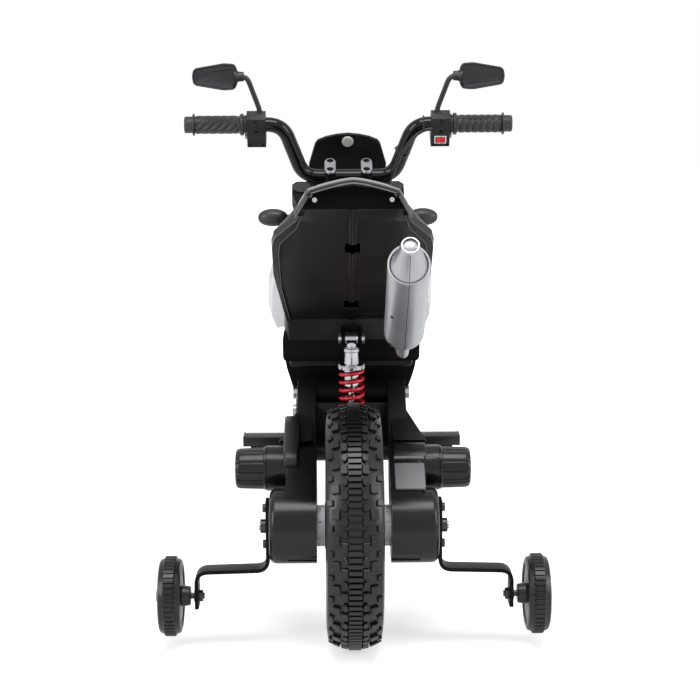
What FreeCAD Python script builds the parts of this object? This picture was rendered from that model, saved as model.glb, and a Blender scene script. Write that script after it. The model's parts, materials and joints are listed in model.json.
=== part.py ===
import FreeCAD, Part
import Sketcher
import math
import os

V = FreeCAD.Vector
doc = FreeCAD.newDocument("kids_motorbike")
sheet = doc.addObject("Spreadsheet::Sheet", "sizes")

# Driving sizes in millimetres and degrees. Stations run forward from the rear axle.
SIZES = [
    ("tyre_radius", 160.0),
    ("tyre_width", 74.0),
    ("tread_height", 5.0),
    ("rim_radius", 108.0),
    ("rim_width", 52.0),
    ("hub_half", 37.5),
    ("axle_radius", 5.0),
    ("head_station", 470.0),
    ("head_height", 560.0),
    ("rake", 30.0),
    ("fork_offset", 38.0),
    ("fork_half", 72.0),
    ("fork_tube_radius", 14.0),
    ("slider_radius", 17.0),
    ("stem_radius", 12.0),
    ("bar_radius", 11.0),
    ("bar_half", 238.0),
    ("bar_centre", 29.0),
    ("bar_rise", 84.0),
    ("grip_start", 157.0),
    ("grip_radius", 13.5),
    ("box_inner", 123.0),
    ("box_outer", 151.0),
    ("mirror_start", 160.0),
    ("mirror_length", 67.0),
    ("pivot_station", 225.0),
    ("pivot_height", 292.0),
    ("pivot_tube_half", 50.0),
    ("arm_thickness", 25.0),
    ("shock_top_station", 170.0),
    ("shock_top_height", 378.0),
    ("shock_low_station", 172.0),
    ("shock_low_height", 240.0),
    ("spring_radius", 15.5),
    ("wire_radius", 2.5),
    ("drum_radius", 48.5),
    ("drum_inner", 48.0),
    ("drum_outer", 109.0),
    ("sleeve_radius", 30.0),
    ("sleeve_outer", 114.0),
    ("case_wall", 3.0),
    ("motor_radius", 18.0),
    ("motor_cap_end", 156.0),
    ("output_module", 1.5),
    ("motor_module", 1.25),
    ("hub_radius", 26.6),
    ("strap_thickness", 5.0),
    ("strap_width", 30.0),
    ("side_wheel_radius", 52.0),
    ("side_wheel_width", 36.0),
    ("side_wheel_height", 67.0),
    ("side_wheel_centre", 235.0),
    ("peg_start", 75.0),
    ("peg_length", 70.0),
    ("peg_height", 236.0),
    ("muffler_radius", 26.1),
    ("muffler_length", 190.0),
    ("muffler_side", 66.0),
    ("body_wall", 3.0),
    ("seat_height", 34.0),
    ("tank_height", 86.0),
]


class Dim:
    def __init__(self, value, text=None):
        self.value = float(value)
        self.fixed = text is None
        self.text = repr(round(self.value, 6)) if text is None else text

    def __float__(self):
        return self.value

    def joined(self, other, sign, value):
        other = dim(other)
        if self.fixed and other.fixed:
            return Dim(value)
        return Dim(value, "(" + self.text + " " + sign + " " + other.text + ")")

    def __add__(self, other):
        return self.joined(other, "+", self.value + float(other))

    def __radd__(self, other):
        return dim(other) + self

    def __sub__(self, other):
        return self.joined(other, "-", self.value - float(other))

    def __rsub__(self, other):
        return dim(other) - self

    def __mul__(self, other):
        return self.joined(other, "*", self.value * float(other))

    def __rmul__(self, other):
        return dim(other) * self

    def __truediv__(self, other):
        return self.joined(other, "/", self.value / float(other))

    def __neg__(self):
        return dim(0.0) - self


def dim(value):
    return value if isinstance(value, Dim) else Dim(value)


def sin_of(angle):
    return Dim(math.sin(math.radians(float(angle))), "sin(" + angle.text + ")")


def cos_of(angle):
    return Dim(math.cos(math.radians(float(angle))), "cos(" + angle.text + ")")


class Sizes:
    pass


S = Sizes()
for row, (name, value) in enumerate(SIZES, 1):
    sheet.set("A%d" % row, name)
    sheet.set("B%d" % row, str(value))
    sheet.setAlias("B%d" % row, name)
    setattr(S, name, Dim(value, "sizes." + name))
doc.recompute()

pieces = {}
counter = [0]


def fresh(kind, hint):
    counter[0] += 1
    return doc.addObject(kind, "%s_%d" % (hint, counter[0]))


def place(obj, at=(0, 0, 0), turn=None):
    axis, angle = turn if turn else ((0, 0, 1), 0)
    spin = FreeCAD.Rotation(V(*axis), float(angle))
    obj.Placement = FreeCAD.Placement(V(*[float(c) for c in at]), spin)
    for letter, part in zip("xyz", at):
        if isinstance(part, Dim) and not part.fixed:
            obj.setExpression("Placement.Base." + letter, part.text)
    if isinstance(angle, Dim) and not angle.fixed:
        obj.setExpression("Placement.Rotation.Angle", angle.text)
    return obj


def bind(obj, prop, size):
    size = dim(size)
    setattr(obj, prop, float(size))
    if not size.fixed:
        obj.setExpression(prop, size.text)


ALONG = {"x": ((0, 1, 0), 90), "y": ((1, 0, 0), -90), "z": None}


def cylinder(radius, height, at, along="x"):
    obj = fresh("Part::Cylinder", "cylinder")
    bind(obj, "Radius", radius)
    bind(obj, "Height", height)
    return place(obj, at, ALONG[along] if isinstance(along, str) else along)


def ball(radius, at):
    obj = fresh("Part::Sphere", "ball")
    bind(obj, "Radius", radius)
    return place(obj, at)


def box(low, high, turn=None):
    obj = fresh("Part::Box", "box")
    for prop, a, b in zip(("Length", "Width", "Height"), low, high):
        bind(obj, prop, dim(b) - dim(a))
    return place(obj, low, turn)


def fuse(*objs):
    obj = fresh("Part::MultiFuse", "fuse")
    obj.Shapes = list(objs)
    return obj


def cut(base, *tools):
    obj = fresh("Part::Cut", "cut")
    obj.Base = base
    obj.Tool = tools[0] if len(tools) == 1 else fuse(*tools)
    return obj


def group(*objs):
    obj = fresh("Part::Compound", "group")
    obj.Links = list(objs)
    return obj


def mirrored(source):
    obj = fresh("Part::Mirroring", "mirrored")
    obj.Source = source
    obj.Normal = (1, 0, 0)
    obj.Base = (0, 0, 0)
    return obj


def form(shape):
    obj = fresh("Part::Feature", "form")
    obj.Shape = shape
    return obj


def sketch_in(body, plane, outline):
    planes = {f.Role: f for f in body.Origin.OriginFeatures}
    sketch = body.newObject("Sketcher::SketchObject", "Profile")
    sketch.AttachmentSupport = (planes[plane], "")
    sketch.MapMode = "FlatFace"
    points = [V(float(u), float(v), 0) for u, v in outline]
    count = len(points)
    for i in range(count):
        sketch.addGeometry(Part.LineSegment(points[i], points[(i + 1) % count]))
    for i in range(count):
        sketch.addConstraint(Sketcher.Constraint("Coincident", i, 2, (i + 1) % count, 1))
    for i, pair in enumerate(outline):
        for kind, axis, size in (("DistanceX", -2, pair[0]), ("DistanceY", -1, pair[1])):
            size = dim(size)
            if size.fixed and abs(float(size)) < 1e-9:
                sketch.addConstraint(Sketcher.Constraint("PointOnObject", i, 1, axis))
                continue
            index = sketch.addConstraint(Sketcher.Constraint(kind, -1, 1, i, 1, float(size)))
            if not size.fixed:
                sketch.setExpression("Constraints[%d]" % index, size.text)
    return sketch


def padded(outline, length, at=(0, 0, 0), plane="YZ_Plane", turn=None):
    body = fresh("PartDesign::Body", "body")
    sketch = sketch_in(body, plane, outline)
    pad = body.newObject("PartDesign::Pad", "Pad")
    pad.Profile = sketch
    bind(pad, "Length", length)
    return place(body, at, turn)


def turned(profile, at=(0, 0, 0), turn=None):
    body = fresh("PartDesign::Body", "body")
    sketch = sketch_in(body, "XY_Plane", profile)
    spin = body.newObject("PartDesign::Revolution", "Revolution")
    spin.Profile = sketch
    spin.ReferenceAxis = (sketch, ["H_Axis"])
    spin.Angle = 360
    return place(body, at, turn)


def node(label, obj):
    obj.Label = label
    pieces[label] = obj
    return obj


# Frame stations: mid wheelbase is the origin, ground is zero.
slope_sin = sin_of(S.rake)
slope_cos = cos_of(S.rake)
fork_drop = (S.head_height - S.tyre_radius + S.fork_offset * slope_sin) / slope_cos
front_station = S.head_station + S.fork_offset * slope_cos + fork_drop * slope_sin
middle = front_station / 2


def at_y(station):
    return dim(station) - middle


REAR_Y = at_y(0)
FRONT_Y = at_y(front_station)
AXLE_Z = S.tyre_radius
HEAD = (0, at_y(S.head_station), S.head_height)


def steered(obj):
    return place(obj, HEAD, ((1, 0, 0), S.rake))


def hull_face(c1, r1, c2, r2, x):
    gap = math.hypot(c2[0] - c1[0], c2[1] - c1[1])
    base = math.atan2(c2[1] - c1[1], c2[0] - c1[0])
    lean = math.acos((r1 - r2) / gap)

    def on(c, r, angle):
        return V(x, c[0] + r * math.cos(angle), c[1] + r * math.sin(angle))

    a1 = on(c1, r1, base + lean)
    a2 = on(c1, r1, base - lean)
    b1 = on(c2, r2, base + lean)
    b2 = on(c2, r2, base - lean)
    back = Part.Arc(a1, on(c1, r1, base + math.pi), a2).toShape()
    nose = Part.Arc(b2, on(c2, r2, base), b1).toShape()
    edges = [back, Part.LineSegment(a2, b2).toShape(), nose, Part.LineSegment(b1, a1).toShape()]
    return Part.Face(Part.Wire(edges))


def hull_slab(c1, r1, c2, r2, x1, x2):
    return hull_face(c1, r1, c2, r2, x1).extrude(V(x2 - x1, 0, 0))


def smooth_path(points, radius):
    points = [V(*p) for p in points]
    edges = []
    last = points[0]
    for before, corner, after in zip(points, points[1:], points[2:]):
        d1 = (before - corner).normalize()
        d2 = (after - corner).normalize()
        half = math.acos(max(-1.0, min(1.0, d1.dot(d2)))) / 2
        reach = radius / math.tan(half)
        start = corner + d1 * reach
        end = corner + d2 * reach
        middle_dir = (d1 + d2).normalize()
        centre = corner + middle_dir * (radius / math.sin(half))
        edges.append(Part.LineSegment(last, start).toShape())
        edges.append(Part.Arc(start, centre - middle_dir * radius, end).toShape())
        last = end
    edges.append(Part.LineSegment(last, points[-1]).toShape())
    return Part.Wire(edges)


def pipe(points, bend, radius):
    path = smooth_path(points, bend)
    start = V(*points[0])
    ring = Part.Wire(Part.Circle(start, V(*points[1]) - start, radius).toShape())
    return path.makePipeShell([ring], True, False)


def ruled_loft(stations):
    wires = []
    for y, corners in stations:
        points = [V(x, y, z) for x, z in corners]
        wires.append(Part.makePolygon(points + [points[0]]))
    return Part.makeLoft(wires, True, True)


# Wheels
def tyre_shape():
    radius = float(S.tyre_radius)
    half = float(S.tyre_width) / 2
    bead = float(S.rim_width) / 2
    rim = float(S.rim_radius)
    lift = float(S.tread_height)
    crown = radius - lift
    side = V(half - 3, crown - 10, 0)
    points = [V(bead, rim, 0), V(half, rim + 0.42 * (crown - rim), 0), side]
    low = [V(-p.x, p.y, 0) for p in points]
    edges = [
        Part.LineSegment(low[0], points[0]).toShape(),
        Part.Arc(points[0], points[1], points[2]).toShape(),
        Part.Arc(points[2], V(0, crown, 0), low[2]).toShape(),
        Part.Arc(low[2], low[1], low[0]).toShape(),
    ]
    carcass = Part.Face(Part.Wire(edges)).revolve(V(0, 0, 0), V(1, 0, 0), 360)
    blocks = []
    pitch = 24

    def block(x1, x2, length, low_r, high_r, tilt, turn):
        centre = (x1 + x2) / 2
        piece = Part.makeBox(x2 - x1, length, high_r - low_r, V(x1, -length / 2, low_r))
        piece.rotate(V(centre, 0, high_r), V(0, 1, 0), tilt)
        piece.rotate(V(0, 0, 0), V(1, 0, 0), turn)
        return piece

    for k in range(pitch):
        step = 360.0 / pitch
        for part in range(2):
            turn = (k + part / 2) * step
            blocks.append(block(-8, 8, 0.62 * step / 2 * math.radians(1) * radius,
                                crown - 4, radius, 0, turn))
        for sign in (-1, 1):
            x1, x2 = sorted((sign * 11, sign * 20))
            blocks.append(block(x1, x2, 15, crown - 6, radius - 1.6, sign * 7, (k + 0.25) * step))
            x1, x2 = sorted((sign * 22, sign * 33))
            blocks.append(block(x1, x2, 14, crown - 10, radius - 5.5, sign * 22, (k + 0.75) * step))
    skin = 5.0
    inside = [V(bead - skin, rim - 1, 0), V(half - skin, rim + 0.42 * (crown - rim), 0),
              V(half - 3 - skin, crown - 10 - skin, 0), V(0, crown - skin - 1, 0)]
    ring = inside + [V(-q.x, q.y, 0) for q in reversed(inside[:-1])]
    room = Part.Face(Part.makePolygon(ring + [ring[0]])).revolve(V(0, 0, 0), V(1, 0, 0), 360)
    return carcass.multiFuse(blocks).cut(room).removeSplitter()


tyre = tyre_shape()
node("rear_tyre", place(form(tyre), (0, REAR_Y, AXLE_Z)))
node("front_tyre", place(form(tyre.copy()), (0, FRONT_Y, AXLE_Z)))


def rim_piece(y):
    half = S.rim_width / 2
    hub = S.hub_half
    bore = S.axle_radius + 0.05
    outer = S.rim_radius
    profile = [
        (-half, outer), (half, outer), (half, outer - 6), (10, outer - 9), (8, 42), (18, 36),
        (hub, 30), (hub, bore), (-hub, bore), (-hub, 30), (-18, 36), (-8, 42), (-10, outer - 9),
        (-half, outer - 6),
    ]
    wheel = turned(profile)
    holes = []
    for k in range(6):
        angle = math.radians(60 * k + 30)
        reach = outer * 0.655
        holes.append(cylinder(outer * 0.2, 60, (-30, reach * math.cos(angle), reach * math.sin(angle))))
    return place(cut(wheel, *holes), (0, y, AXLE_Z))


node("rear_rim", rim_piece(REAR_Y))
node("front_rim", rim_piece(FRONT_Y))


# Gear train: output gear on the wheel hub, cluster, motor pinion
OUT_TEETH = 55
SMALL_TEETH = 15
BIG_TEETH = 52
PINION_TEETH = 11
TRAIN_ANGLE = 40.6
mesh_gap = 0.15
cluster_reach = S.output_module * ((OUT_TEETH + SMALL_TEETH) / 2) + mesh_gap
motor_reach = cluster_reach + S.motor_module * ((BIG_TEETH + PINION_TEETH) / 2) + mesh_gap
TRAIN_COS = math.cos(math.radians(TRAIN_ANGLE))
TRAIN_SIN = math.sin(math.radians(TRAIN_ANGLE))
CLUSTER = (REAR_Y + cluster_reach * TRAIN_COS, AXLE_Z + cluster_reach * TRAIN_SIN)
MOTOR = (REAR_Y + motor_reach * TRAIN_COS, AXLE_Z + motor_reach * TRAIN_SIN)


def gear_solid(module, teeth, x1, x2, phase, bore):
    pitch_r = module * teeth / 2
    root = pitch_r - 1.25 * module
    tip = pitch_r + 0.85 * module
    step = 2 * math.pi / teeth
    thick = 0.42 * step
    points = []
    for k in range(teeth):
        mid = phase + k * step
        lean = math.tan(math.radians(20)) * module / pitch_r
        for r, half in ((root, thick / 2 + 1.1 * lean), (tip, thick / 2 - 0.85 * lean)):
            points.append((r, mid - half))
        for r, half in ((tip, thick / 2 - 0.85 * lean), (root, thick / 2 + 1.1 * lean)):
            points.append((r, mid + half))
    corners = [V(x1, r * math.cos(a), r * math.sin(a)) for r, a in points]
    face = Part.Face(Part.makePolygon(corners + [corners[0]]))
    solid = face.extrude(V(x2 - x1, 0, 0))
    if bore > 0:
        solid = solid.cut(Part.makeCylinder(bore, x2 - x1 + 2, V(x1 - 1, 0, 0), V(1, 0, 0)))
    return solid


def disc(radius, x1, x2):
    return Part.makeCylinder(radius, x2 - x1, V(x1, 0, 0), V(1, 0, 0))


along = math.radians(TRAIN_ANGLE)
drum_in = float(S.drum_inner)


def drive_hub():
    bore = float(S.axle_radius) + 0.05
    start = float(S.hub_half)
    ring = disc(float(S.hub_radius), start, drum_in - 0.3)
    for k in range(8):
        notch = Part.makeCylinder(2.2, 12, V(start + 3, float(S.hub_radius) + 0.6, 0), V(1, 0, 0))
        notch.rotate(V(0, 0, 0), V(1, 0, 0), 45 * k + 22)
        ring = ring.cut(notch)
    boss = disc(16, drum_in - 0.4, drum_in + 10)
    gear = gear_solid(float(S.output_module), OUT_TEETH, drum_in + 10, drum_in + 22, along, 0)
    return ring.fuse(boss).fuse(gear).cut(disc(bore, 0, 200)).removeSplitter()


hub_form = form(drive_hub())
place(hub_form, (0, REAR_Y, AXLE_Z))
node("drive_hubs", group(hub_form, mirrored(hub_form)))


def cluster_shape():
    small = gear_solid(float(S.output_module), SMALL_TEETH, drum_in + 10, drum_in + 24,
                       along + math.pi + math.pi / SMALL_TEETH, 0)
    big = gear_solid(float(S.motor_module), BIG_TEETH, drum_in + 24, drum_in + 33, along, 0)
    pin = disc(3, drum_in + 2, drum_in + 38.9)
    return small.fuse(big).fuse(pin).removeSplitter()


cluster_form = place(form(cluster_shape()), (0, CLUSTER[0], CLUSTER[1]))
node("cluster_gears", group(cluster_form, mirrored(cluster_form)))


def pinion_shape():
    gear = gear_solid(float(S.motor_module), PINION_TEETH, drum_in + 24.5, drum_in + 33,
                      along + math.pi + math.pi / PINION_TEETH, 0)
    return gear.fuse(disc(1.6, drum_in + 24.5, drum_in + 70)).removeSplitter()


pinion_form = place(form(pinion_shape()), (0, MOTOR[0], MOTOR[1]))
node("motor_pinions", group(pinion_form, mirrored(pinion_form)))

mount_wall = S.drum_inner + 37
motor_can = cut(
    cylinder(S.motor_radius, 50, (mount_wall + S.case_wall, MOTOR[0], MOTOR[1])),
    cylinder(2, 36, (mount_wall, MOTOR[0], MOTOR[1])),
)
node("drive_motors", group(motor_can, mirrored(motor_can)))


# Gearbox cases
def case_shape(hollowed):
    wall = float(S.case_wall)
    axle = (float(REAR_Y), float(AXLE_Z))
    motor = (float(MOTOR[0]), float(MOTOR[1]))
    drum = float(S.drum_radius)
    sleeve = float(S.sleeve_radius)
    outer = float(S.drum_outer)
    end = float(S.sleeve_outer)
    mount = float(mount_wall)
    slab = hull_slab(axle, drum, motor, sleeve, drum_in, mount + wall)
    rim = Part.makeCylinder(drum, outer - drum_in, V(drum_in, axle[0], axle[1]), V(1, 0, 0))
    edge = [e for e in rim.Edges if abs(e.BoundBox.XMin - outer) < 1e-6 and e.BoundBox.YLength > 1]
    rim = rim.makeFillet(9.0, edge)
    neck = Part.makeCylinder(sleeve, end - drum_in, V(drum_in, motor[0], motor[1]), V(1, 0, 0))
    lip = Part.makeCylinder(sleeve + 2, 6, V(end - 30, motor[0], motor[1]), V(1, 0, 0))
    case = slab.fuse(rim).fuse(neck).fuse(lip)
    if not hollowed:
        return case
    hollow = hull_slab(axle, drum - wall, motor, sleeve - wall, drum_in + wall + 1, mount)
    rear_room = Part.makeCylinder(drum - wall - 7, outer - drum_in - 2 * wall,
                                  V(drum_in + wall, axle[0], axle[1]), V(1, 0, 0))
    bore = Part.makeCylinder(sleeve - 4, 60, V(mount + wall, motor[0], motor[1]), V(1, 0, 0))
    shaft = Part.makeCylinder(4, 20, V(mount - 5, motor[0], motor[1]), V(1, 0, 0))
    axle_hole = Part.makeCylinder(float(S.axle_radius), 60, V(outer - 10, axle[0], axle[1]), V(1, 0, 0))
    boss_hole = Part.makeCylinder(16.3, 20, V(drum_in - 10, axle[0], axle[1]), V(1, 0, 0))
    pin = Part.makeCylinder(3.05, 39.5 - 1.5, V(drum_in + 1.5, float(CLUSTER[0]), float(CLUSTER[1])),
                            V(1, 0, 0))
    slot = Part.makeBox(38, 14, 2, V(drum_in - 1, -7, drum - 1.8))
    slot.rotate(V(0, 0, 0), V(1, 0, 0), 136)
    slot.translate(V(0, axle[0], axle[1]))
    for tool in (hollow, rear_room, bore, shaft, axle_hole, boss_hole, pin, slot):
        case = case.cut(tool)
    return case.removeSplitter()


case_form = form(case_shape(True))
node("gearbox_cases", group(case_form, mirrored(case_form)))

cap_profile = [
    (S.sleeve_outer, S.sleeve_radius - 5.5), (S.sleeve_outer, S.sleeve_radius - 2.5),
    (S.motor_cap_end - 3, S.sleeve_radius - 4.5), (S.motor_cap_end, S.sleeve_radius - 8),
    (S.motor_cap_end, 0), (S.motor_cap_end - 3, 0), (S.motor_cap_end - 3, S.sleeve_radius - 9),
    (S.motor_cap_end - 6, S.sleeve_radius - 7),
]
cap_body = turned(cap_profile)
flutes = []
for k in range(12):
    angle = math.radians(30 * k)
    reach = S.sleeve_radius - 1.6
    flutes.append(cylinder(2.4, 60, (S.sleeve_outer + 4, reach * math.cos(angle), reach * math.sin(angle))))
cap_cut = place(cut(cap_body, *flutes), (0, MOTOR[0], MOTOR[1]))
node("motor_covers", group(cap_cut, mirrored(cap_cut)))


# Swing arm
def swingarm_shape():
    pivot = (float(at_y(S.pivot_station)), float(S.pivot_height))
    low = (float(REAR_Y) + 78, float(AXLE_Z) + 42)
    inner = float(S.pivot_tube_half) + 0.4
    thick = float(S.arm_thickness)
    axle = (float(REAR_Y), float(AXLE_Z))
    motor = (float(MOTOR[0]), float(MOTOR[1]))
    arm = hull_slab(pivot, 20, low, 24, inner, inner + thick)
    hole = Part.makeCylinder(float(S.axle_radius) + 0.05, 60, V(inner - 10, pivot[0], pivot[1]), V(1, 0, 0))
    case = hull_slab(axle, float(S.drum_radius), motor, float(S.sleeve_radius), drum_in,
                     float(mount_wall) + float(S.case_wall))
    arm = arm.cut(hole).cut(case)
    other = arm.mirror(V(0, 0, 0), V(1, 0, 0))
    bridge_at = (float(at_y(S.shock_low_station)) + 6, float(S.shock_low_height) - 22.5)
    span = inner + thick - 6
    bridge = Part.makeCylinder(13, 2 * span, V(-span, bridge_at[0], bridge_at[1]), V(1, 0, 0))
    whole = arm.fuse(other).fuse(bridge)
    eye = (float(at_y(S.shock_low_station)), float(S.shock_low_height))
    web = (float(at_y(S.pivot_station)) - 34, float(S.pivot_height) - 32)
    for side in (-1, 1):
        lug = hull_slab(eye, 8.5, bridge_at, 12, side * 9.0, side * 14.0)
        rib = hull_slab(bridge_at, 12.5, web, 8, side * (inner + 6), side * (inner + 14))
        whole = whole.fuse(lug).fuse(rib)
    bolt = Part.makeCylinder(4, 60, V(-30, eye[0], eye[1]), V(1, 0, 0))
    return whole.cut(bolt).removeSplitter()


node("swingarm", form(swingarm_shape()))

axle_end = S.drum_outer + S.strap_thickness
node("rear_axle", cylinder(S.axle_radius, axle_end * 2 + 18, (-axle_end - 9, REAR_Y, AXLE_Z)))

cover_outline = [(38, 66), (46, 84), (96, 122), (128, 132), (142, 124), (142, 104), (66, 58), (44, 56)]
cover = padded([(dim(u), dim(v)) for u, v in cover_outline], 20,
               (-(S.pivot_tube_half + S.arm_thickness + 16), REAR_Y, AXLE_Z))
arm_tool = form(pieces["swingarm"].Shape.copy())
case_tool = form(case_shape(False).mirror(V(0, 0, 0), V(1, 0, 0)))
node("arm_cover", cut(cover, arm_tool, case_tool))


def bolt_head(x, y, z, radius=5.5, depth=4.0):
    return cylinder(radius, depth, (x, y, z))


arm_bolts = []
for lift in (-24, 24):
    arm_bolts.append(bolt_head(axle_end, REAR_Y, AXLE_Z + lift))
arm_bolts.append(cut(bolt_head(axle_end, REAR_Y, AXLE_Z, 9, 7),
                     cylinder(S.axle_radius, 30, (axle_end - 10, REAR_Y, AXLE_Z))))
lower_bolt = fuse(
    cylinder(4, 36, (-18, at_y(S.shock_low_station), S.shock_low_height)),
    cylinder(7, 4, (14, at_y(S.shock_low_station), S.shock_low_height)),
    cylinder(7, 4, (-18, at_y(S.shock_low_station), S.shock_low_height)),
)

# Stabiliser straps and wheels
strap_x = S.drum_outer
drop_x = S.side_wheel_centre - S.side_wheel_width / 2 - 10
strap_top = S.side_wheel_height + 38
thin = S.strap_thickness
strap_outline = [
    (strap_x, AXLE_Z + 34), (strap_x + thin, AXLE_Z + 34), (strap_x + thin, strap_top + 8),
    (strap_x + thin + 6, strap_top + 2), (drop_x - 6, strap_top), (drop_x, strap_top - 6),
    (drop_x, S.side_wheel_height - 14), (drop_x - thin, S.side_wheel_height - 14),
    (drop_x - thin, strap_top - 8), (drop_x - thin - 4, strap_top - thin),
    (strap_x + 8, strap_top - thin + 1), (strap_x, strap_top + 5),
]
strap_blank = padded(strap_outline, S.strap_width, (0, REAR_Y + S.strap_width / 2, 0), "XZ_Plane")
strap = cut(strap_blank,
            cylinder(S.axle_radius, 60, (strap_x - 10, REAR_Y, AXLE_Z)),
            cylinder(4, 40, (drop_x - 20, REAR_Y, S.side_wheel_height)))
node("stabiliser_arms", group(strap, mirrored(strap)))
wheel_in = S.side_wheel_centre - S.side_wheel_width / 2
wheel_out = S.side_wheel_centre + S.side_wheel_width / 2
pin_out = wheel_out + 4.5
side_pin = fuse(
    cylinder(4, pin_out - drop_x + 12, (drop_x - 12, REAR_Y, S.side_wheel_height)),
    cylinder(7.5, 5, (drop_x - thin - 5, REAR_Y, S.side_wheel_height)),
    cylinder(7.5, 1.6, (drop_x, REAR_Y, S.side_wheel_height)),
    cylinder(8, 4, (wheel_out + 0.5, REAR_Y, S.side_wheel_height)),
)
bolt_side = group(*arm_bolts, side_pin)
node("swingarm_bolts", group(bolt_side, mirrored(bolt_side), lower_bolt))
r = S.side_wheel_radius
wheel_profile = [
    (wheel_in - 7, 4.05), (wheel_in - 7, 13), (wheel_in + 2, 15), (wheel_in + 2, r - 14),
    (wheel_in, r - 10), (wheel_in + 9, r - 1.5), (wheel_in + 10, r), (wheel_out - 10, r),
    (wheel_out - 9, r - 1.5), (wheel_out, r - 10), (wheel_out - 2, r - 14), (wheel_out - 4, 16),
    (wheel_out, 13), (wheel_out, 4.05),
]
side_blank = turned(wheel_profile, (0, REAR_Y, S.side_wheel_height))


def rib_gaps():
    gaps = []
    count = 40
    for k in range(count):
        gap = Part.makeBox(float(S.side_wheel_width) - 21, 3.6, 6, V(0, -1.8, float(r) - 2.4))
        gap.rotate(V(0, 0, 0), V(1, 0, 0), k * 360.0 / count)
        gap.translate(V(float(wheel_in) + 10.5, float(REAR_Y), float(S.side_wheel_height)))
        gaps.append(gap)
    return Part.makeCompound(gaps)


side_wheel = cut(side_blank, form(rib_gaps()))
node("stabiliser_wheel_right", side_wheel)
node("stabiliser_wheel_left", mirrored(side_wheel))

# Rear shock, built down from its upper eye
shock_dy = S.shock_low_station - S.shock_top_station
shock_dz = S.shock_top_height - S.shock_low_height
shock_length = math.hypot(float(shock_dy), float(shock_dz))
shock_lean = math.degrees(math.atan2(float(shock_dy), float(shock_dz)))
SHOCK_AT = (0, at_y(S.shock_top_station), S.shock_top_height)


def shocked(obj):
    return place(obj, SHOCK_AT, ((1, 0, 0), shock_lean))


body_reach = 0.478 * shock_length
collar_z = -0.26 * shock_length
seat_z = -(shock_length - 24)
rod_top = -0.348 * shock_length
bore_top = -0.217 * shock_length
shock_upper = fuse(
    cylinder(9, 16, (-8, 0, 0)),
    cylinder(7.5, 20, (0, 0, -22), "z"),
    cylinder(10.5, body_reach - 11, (0, 0, -body_reach), "z"),
    cylinder(12, 5, (0, 0, -18), "z"),
    cylinder(18, 6, (0, 0, collar_z), "z"),
)
node("shock_body", shocked(cut(shock_upper, cylinder(4.05, 40, (-20, 0, 0)),
                               cylinder(5.3, bore_top + body_reach + 4, (0, 0, -body_reach - 4), "z"))))
shock_lower = fuse(
    cylinder(5, rod_top - seat_z + 2, (0, 0, seat_z - 2), "z"),
    cylinder(18, 5, (0, 0, seat_z - 5), "z"),
    cylinder(7, 18, (0, 0, seat_z - 21), "z"),
    cylinder(8.5, 16, (-8, 0, -shock_length)),
)
node("shock_rod", shocked(cut(shock_lower, cylinder(4.6, 40, (-20, 0, -shock_length)))))


def spring_shape():
    wire = float(S.wire_radius)
    radius = float(S.spring_radius)
    top = collar_z - wire
    low = seat_z + wire
    turns = 7
    count = turns * 4
    pitch = (top - low) / turns

    def on(t):
        a = 2 * math.pi * t
        return V(radius * math.cos(a), radius * math.sin(a), low + pitch * t)

    def way(t):
        a = 2 * math.pi * t
        d = V(-radius * math.sin(a), radius * math.cos(a), pitch / (2 * math.pi))
        return d.normalize()

    edges = []
    for k in range(count):
        p0 = on(k / 4)
        p1 = on((k + 1) / 4)
        d0 = way(k / 4)
        d1 = way((k + 1) / 4)
        chord = p1 - p0
        a = 2 * (1 - d0.dot(d1))
        b = 2 * chord.dot(d0 + d1)
        c = -chord.dot(chord)
        reach = (-b + math.sqrt(b * b - 4 * a * c)) / (2 * a)
        q0 = p0 + d0 * reach
        q1 = p1 - d1 * reach
        joint = (q0 + q1) * 0.5
        for start, knee, end in ((p0, q0, joint), (joint, q1, p1)):
            u = (start - knee).normalize()
            v = (end - knee).normalize()
            half = math.acos(u.dot(v)) / 2
            arm = (start - knee).Length
            bisect = (u + v).normalize()
            away = arm / math.cos(half)
            centre = knee + bisect * away
            arc_r = arm * math.tan(half)
            edges.append(Part.Arc(start, centre - bisect * arc_r, end).toShape())
    path = Part.Wire(edges)
    ring = Part.Wire(Part.Circle(on(0), way(0), wire).toShape())
    coil = path.makePipeShell([ring], True, False)
    print("spring gap between coils %.2f mm" % (pitch - 2 * wire))
    return coil


node("shock_spring", shocked(form(spring_shape())))

# Welded frame: head tube, backbone, pivot tube, footrest bar and shock bracket
head_low = -134.0
head_top = -52.0
bush_r = S.stem_radius + 3


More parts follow.
